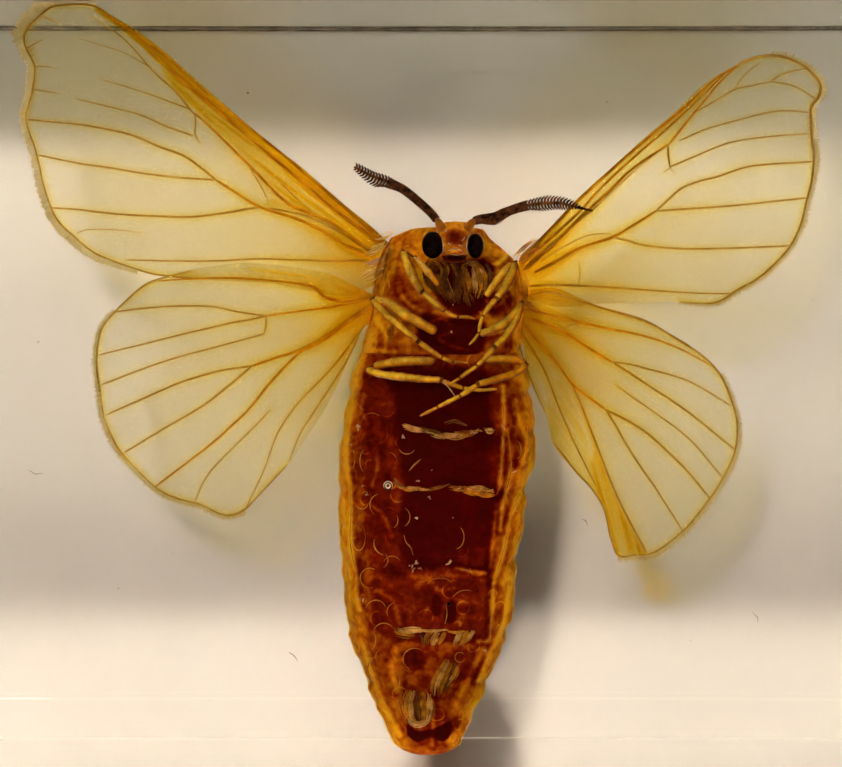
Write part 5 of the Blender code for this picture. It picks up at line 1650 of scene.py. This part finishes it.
locks["wingRoot"] = ("thorax", "thorax_skin", [
    ("gold", 22, 2.6, [(392, 246), (388, 256), (386, 268)]),
    ("cream", 16, 2.0, [(388, 244), (384, 256), (382, 270)]),
    ("gold", 22, 2.4, [(386, 262), (384, 274), (383, 286)]),
    ("cream", 12, 1.6, [(390, 240), (386, 250), (381, 258)]),
    ("pale", 12, 3.0, [(386, 242), (376, 249), (364, 255)]),
    ("white", 8, 2.2, [(388, 253), (376, 261), (363, 266)]),
    ("pale", 14, 3.6, [(386, 266), (374, 273), (362, 280)]),
    ("pale", 8, 2.0, [(396, 232), (386, 237), (376, 239)]),
    ("white", 6, 1.4, [(378, 258), (371, 262), (361, 263)]),
    ("gold", 7, 5, [(384, 262), (378, 290), (374, 312)]),
    ("rust", 6, 5, [(398, 318), (392, 332), (388, 346)]),
    ("gold", 6, 4, [(524, 262), (526, 286), (524, 310)]),
    ("gold", 22, 3.0, [(518, 262), (529, 252), (542, 243)]),
    ("cream", 12, 2.4, [(514, 258), (524, 250), (535, 240)]),
    ("gold", 24, 3.0, [(518, 296), (528, 304), (541, 312)]),
])
braids = {
    "firstRow": [([(403, 426), (413, 429), (425, 431), (437, 434), (449, 436), (464, 435),
        (480, 430)], 0.9),
                 ([(484, 429), (495, 430)], 0.8)],
    "secondRow": [([(398, 487), (412, 489), (424, 489)], 0.5), ([(452, 488), (470, 490), (494, 491)], 0.9)],
    "thirdRow": [([(395, 631), (408, 632), (420, 631)], 0.8)],
}
hairLooks = {
    "gold": ((0.30, 0.07, 0.001), (0.92, 0.36, 0.010)),
    "cream": ((0.46, 0.17, 0.020), (0.96, 0.56, 0.15)),
    "brown": ((0.08, 0.014, 0.001), (0.30, 0.10, 0.008)),
    "rust": ((0.16, 0.026, 0.001), (0.48, 0.15, 0.01)),
    "pale": ((0.72, 0.42, 0.06), (0.98, 0.80, 0.36)),
    "white": ((0.72, 0.36, 0.14), (1.0, 0.74, 0.42)),
}
braidShape = {"spacing": 2.2, "overlap": 1.6, "cross": (0.5, 1.1), "bend": (-0.3, 0.3), "hairs": (3, 6),
              "width": 0.7, "looks": ("cream", "cream", "gold", "brown", "white")}
hairShape = {"spread": 0.6, "wander": 0.6, "starts": (-0.05, 0.35), "stops": (0.6, 1.08),
             "lift": (0.0, 0.20), "points": 7, "drawnTogether": 0.4, "waves": 2.6, "sunk": 0.01,
             "wingHeight": 10.4, "radius": (0.012, 0.030), "endShare": 0.35}


def makeHair(tree):
    dice = random.Random(5)
    looks = {look: mottledFinish(look + " hair", 0.5, 0.15, dark, light, 1800.0)
             for look, (dark, light) in hairLooks.items()}
    for name, (node, slot, group) in locks.items():
        lines = {look: [] for look in looks}
        for line, width in braids.get(name, []):
            group = group + braid(line, width, dice)
        for look, count, width, line in group:
            guide = evenPoints(line, 9)
            run = np.gradient(guide, axis=0)
            side = np.stack([-run[:, 1], run[:, 0]], axis=1) / np.linalg.norm(run, axis=1)[:, None]
            lines[look] += [hairLine(tree, guide, side, width, dice) for _ in range(count)]
        for look, hairs in lines.items():
            if hairs:
                settle(strands(hairs, sides=0), name + look.capitalize(), slot, [node], looks[look])


def braid(line, width, dice):
    # short crossing locks along a line, like a frayed rope
    length = np.linalg.norm(np.subtract(line[-1], line[0]))
    path = evenPoints(line, max(6, round(length / braidShape["spacing"])))
    group = []
    for index in range(1, len(path) - 1):
        run = (path[index + 1] - path[index - 1]) / 2
        way = 1 if index % 2 else -1
        side = np.array((-run[1], run[0])) * way * dice.uniform(*braidShape["cross"]) * width
        start = path[index] - run * braidShape["overlap"] - side
        end = path[index] + run * braidShape["overlap"] + side
        bend = path[index] + side * dice.uniform(*braidShape["bend"])
        look = dice.choice(braidShape["looks"])
        group.append((look, dice.randint(*braidShape["hairs"]), braidShape["width"],
                      [tuple(start), tuple(bend), tuple(end)]))
    return group


def hairLine(tree, guide, side, width, dice):
    # one hair of a lock: it starts and stops where it likes, and the lock draws together at its tip
    offset = dice.gauss(0, hairShape["spread"]) * width
    wander = dice.gauss(0, width * hairShape["wander"])
    first, last = dice.uniform(*hairShape["starts"]), dice.uniform(*hairShape["stops"])
    lift = dice.uniform(*hairShape["lift"])
    cells = len(guide) - 1
    steps = hairShape["points"] - 1
    points = []
    for step in range(steps + 1):
        share = first + (last - first) * step / steps
        index = max(0, min(cells - 1, int(share * cells)))
        middle = guide[index] + (guide[index + 1] - guide[index]) * (share * cells - index)
        together = 1 - hairShape["drawnTogether"] * share
        sway = wander * math.sin(share * hairShape["waves"])
        spot = middle + side[index] * (offset * together + sway)
        rise = lift * math.sin(math.pi * (0.1 + 0.8 * step / steps))
        point = onto(tree, *spot, hairShape["sunk"] + rise)
        if point is None:  # past the body: on the wing
            point = place(*spot, hairShape["wingHeight"] + lift * 3)
        points.append(point)
    radius = dice.uniform(*hairShape["radius"])
    swells = [math.sin(math.pi * step / steps) for step in range(steps + 1)]
    return points, [radius * (hairShape["endShare"] + (1 - hairShape["endShare"]) * swell)
                    for swell in swells]


# The stage

lights = {
    "main light": {"towards": (-0.322, 0.440, 0.848), "distance": 0.35, "size": 0.066, "power": 0.86,
                   "colour": (1.0, 0.86, 0.76)},
    "far panel": {"towards": (0.0, 0.42, 0.90), "distance": 0.60, "size": (0.34, 0.22), "power": 0.45,
                  "colour": (1.0, 0.95, 0.85)},
    "near lamp": {"towards": (0.25, -0.85, 0.45), "distance": 0.60, "size": (0.50, 0.24), "power": 2.60,
                  "colour": (1.0, 0.91, 0.74)},
    "side lamp": {"towards": (0.60, 0.15, 0.78), "distance": 0.60, "size": (0.30, 0.26), "power": 0.14,
                  "colour": (1.0, 0.70, 0.45)},
}
room = {"colour": (0.8, 0.86, 1.0), "strength": 0.012, "shadeStart": 0.86, "shadeEnd": 0.93}
floorLook = {"size": 3.0, "gap": 0.03, "dark": (0.70, 0.68, 0.64), "light": (0.74, 0.72, 0.68),
             "patches": 60.0}


def makeLamp(name, settings):
    lamp = bpy.data.lights.new(name, "AREA")
    if isinstance(settings["size"], tuple):
        lamp.shape = "RECTANGLE"
        lamp.size, lamp.size_y = settings["size"]
    else:
        lamp.shape = "DISK"
        lamp.size = settings["size"]
    lamp.energy = settings["power"]
    lamp.color = settings["colour"]
    holder = bpy.data.objects.new(name, lamp)
    away = Vector(settings["towards"]).normalized()
    holder.location = away * settings["distance"]
    holder.rotation_euler = away.to_track_quat("Z", "Y").to_euler()
    bpy.context.scene.collection.objects.link(holder)


def makeRoom():
    # a dim, even, cool room, dark straight overhead, where the camera and its holder shade the block
    world = bpy.data.worlds.new("room")
    world.use_nodes = True
    tree = world.node_tree
    way = tree.nodes.new("ShaderNodeTexCoord")
    parts = tree.nodes.new("ShaderNodeSeparateXYZ")
    shade = addNode(tree, "ShaderNodeMapRange", {
        "From Min": room["shadeEnd"], "From Max": room["shadeStart"], "To Max": room["strength"]})
    join(tree, (way, "Generated", parts, "Vector"), (parts, "Z", shade, "Value"),
         (shade, "Result", tree.nodes["Background"], "Strength"))
    tree.nodes["Background"].inputs["Color"].default_value = (*room["colour"], 1)
    bpy.context.scene.world = world


def makeFloor():
    clearSelection()
    bpy.ops.mesh.primitive_plane_add(size=floorLook["size"], location=(0, 0, -floorLook["gap"] * mm))
    floor = bpy.context.object
    floor.name = "floor"
    paper = mottledFinish("pale paper", 0.7, 0.2, floorLook["dark"], floorLook["light"],
                          floorLook["patches"])
    floor.data.materials.append(paper)


def makeStage():
    makeFloor()
    for name, settings in lights.items():
        makeLamp(name, settings)
    makeRoom()
    bpy.context.scene.view_settings.view_transform = "Standard"
    bpy.context.scene.cycles.transparent_max_bounces = 32
    bpy.context.scene.cycles.max_bounces = 24
    bpy.context.scene.cycles.transmission_bounces = 24
    # the walls throw the light back onto the paper in bands, which blurred reflections would lose
    bpy.context.scene.cycles.blur_glossy = 0.0
    bpy.context.scene.cycles.sample_clamp_indirect = 90.0


makeCamera()
makeStage()
makeBlock()
makeFootShadeLine()
makeSpecks()
print("block done")
makeWings()
abdomen = makeAbdomen()
thorax = makeThorax()
skull = makeHead()
print("body done")
makeLegs()
makeAntennae()
outside = treeOf(abdomen, thorax, skull)
makeMarks(treeOf(abdomen), abdomen, thorax)
makeBubble(outside)
makeHair(outside)
print("legs, antennae and hair done")
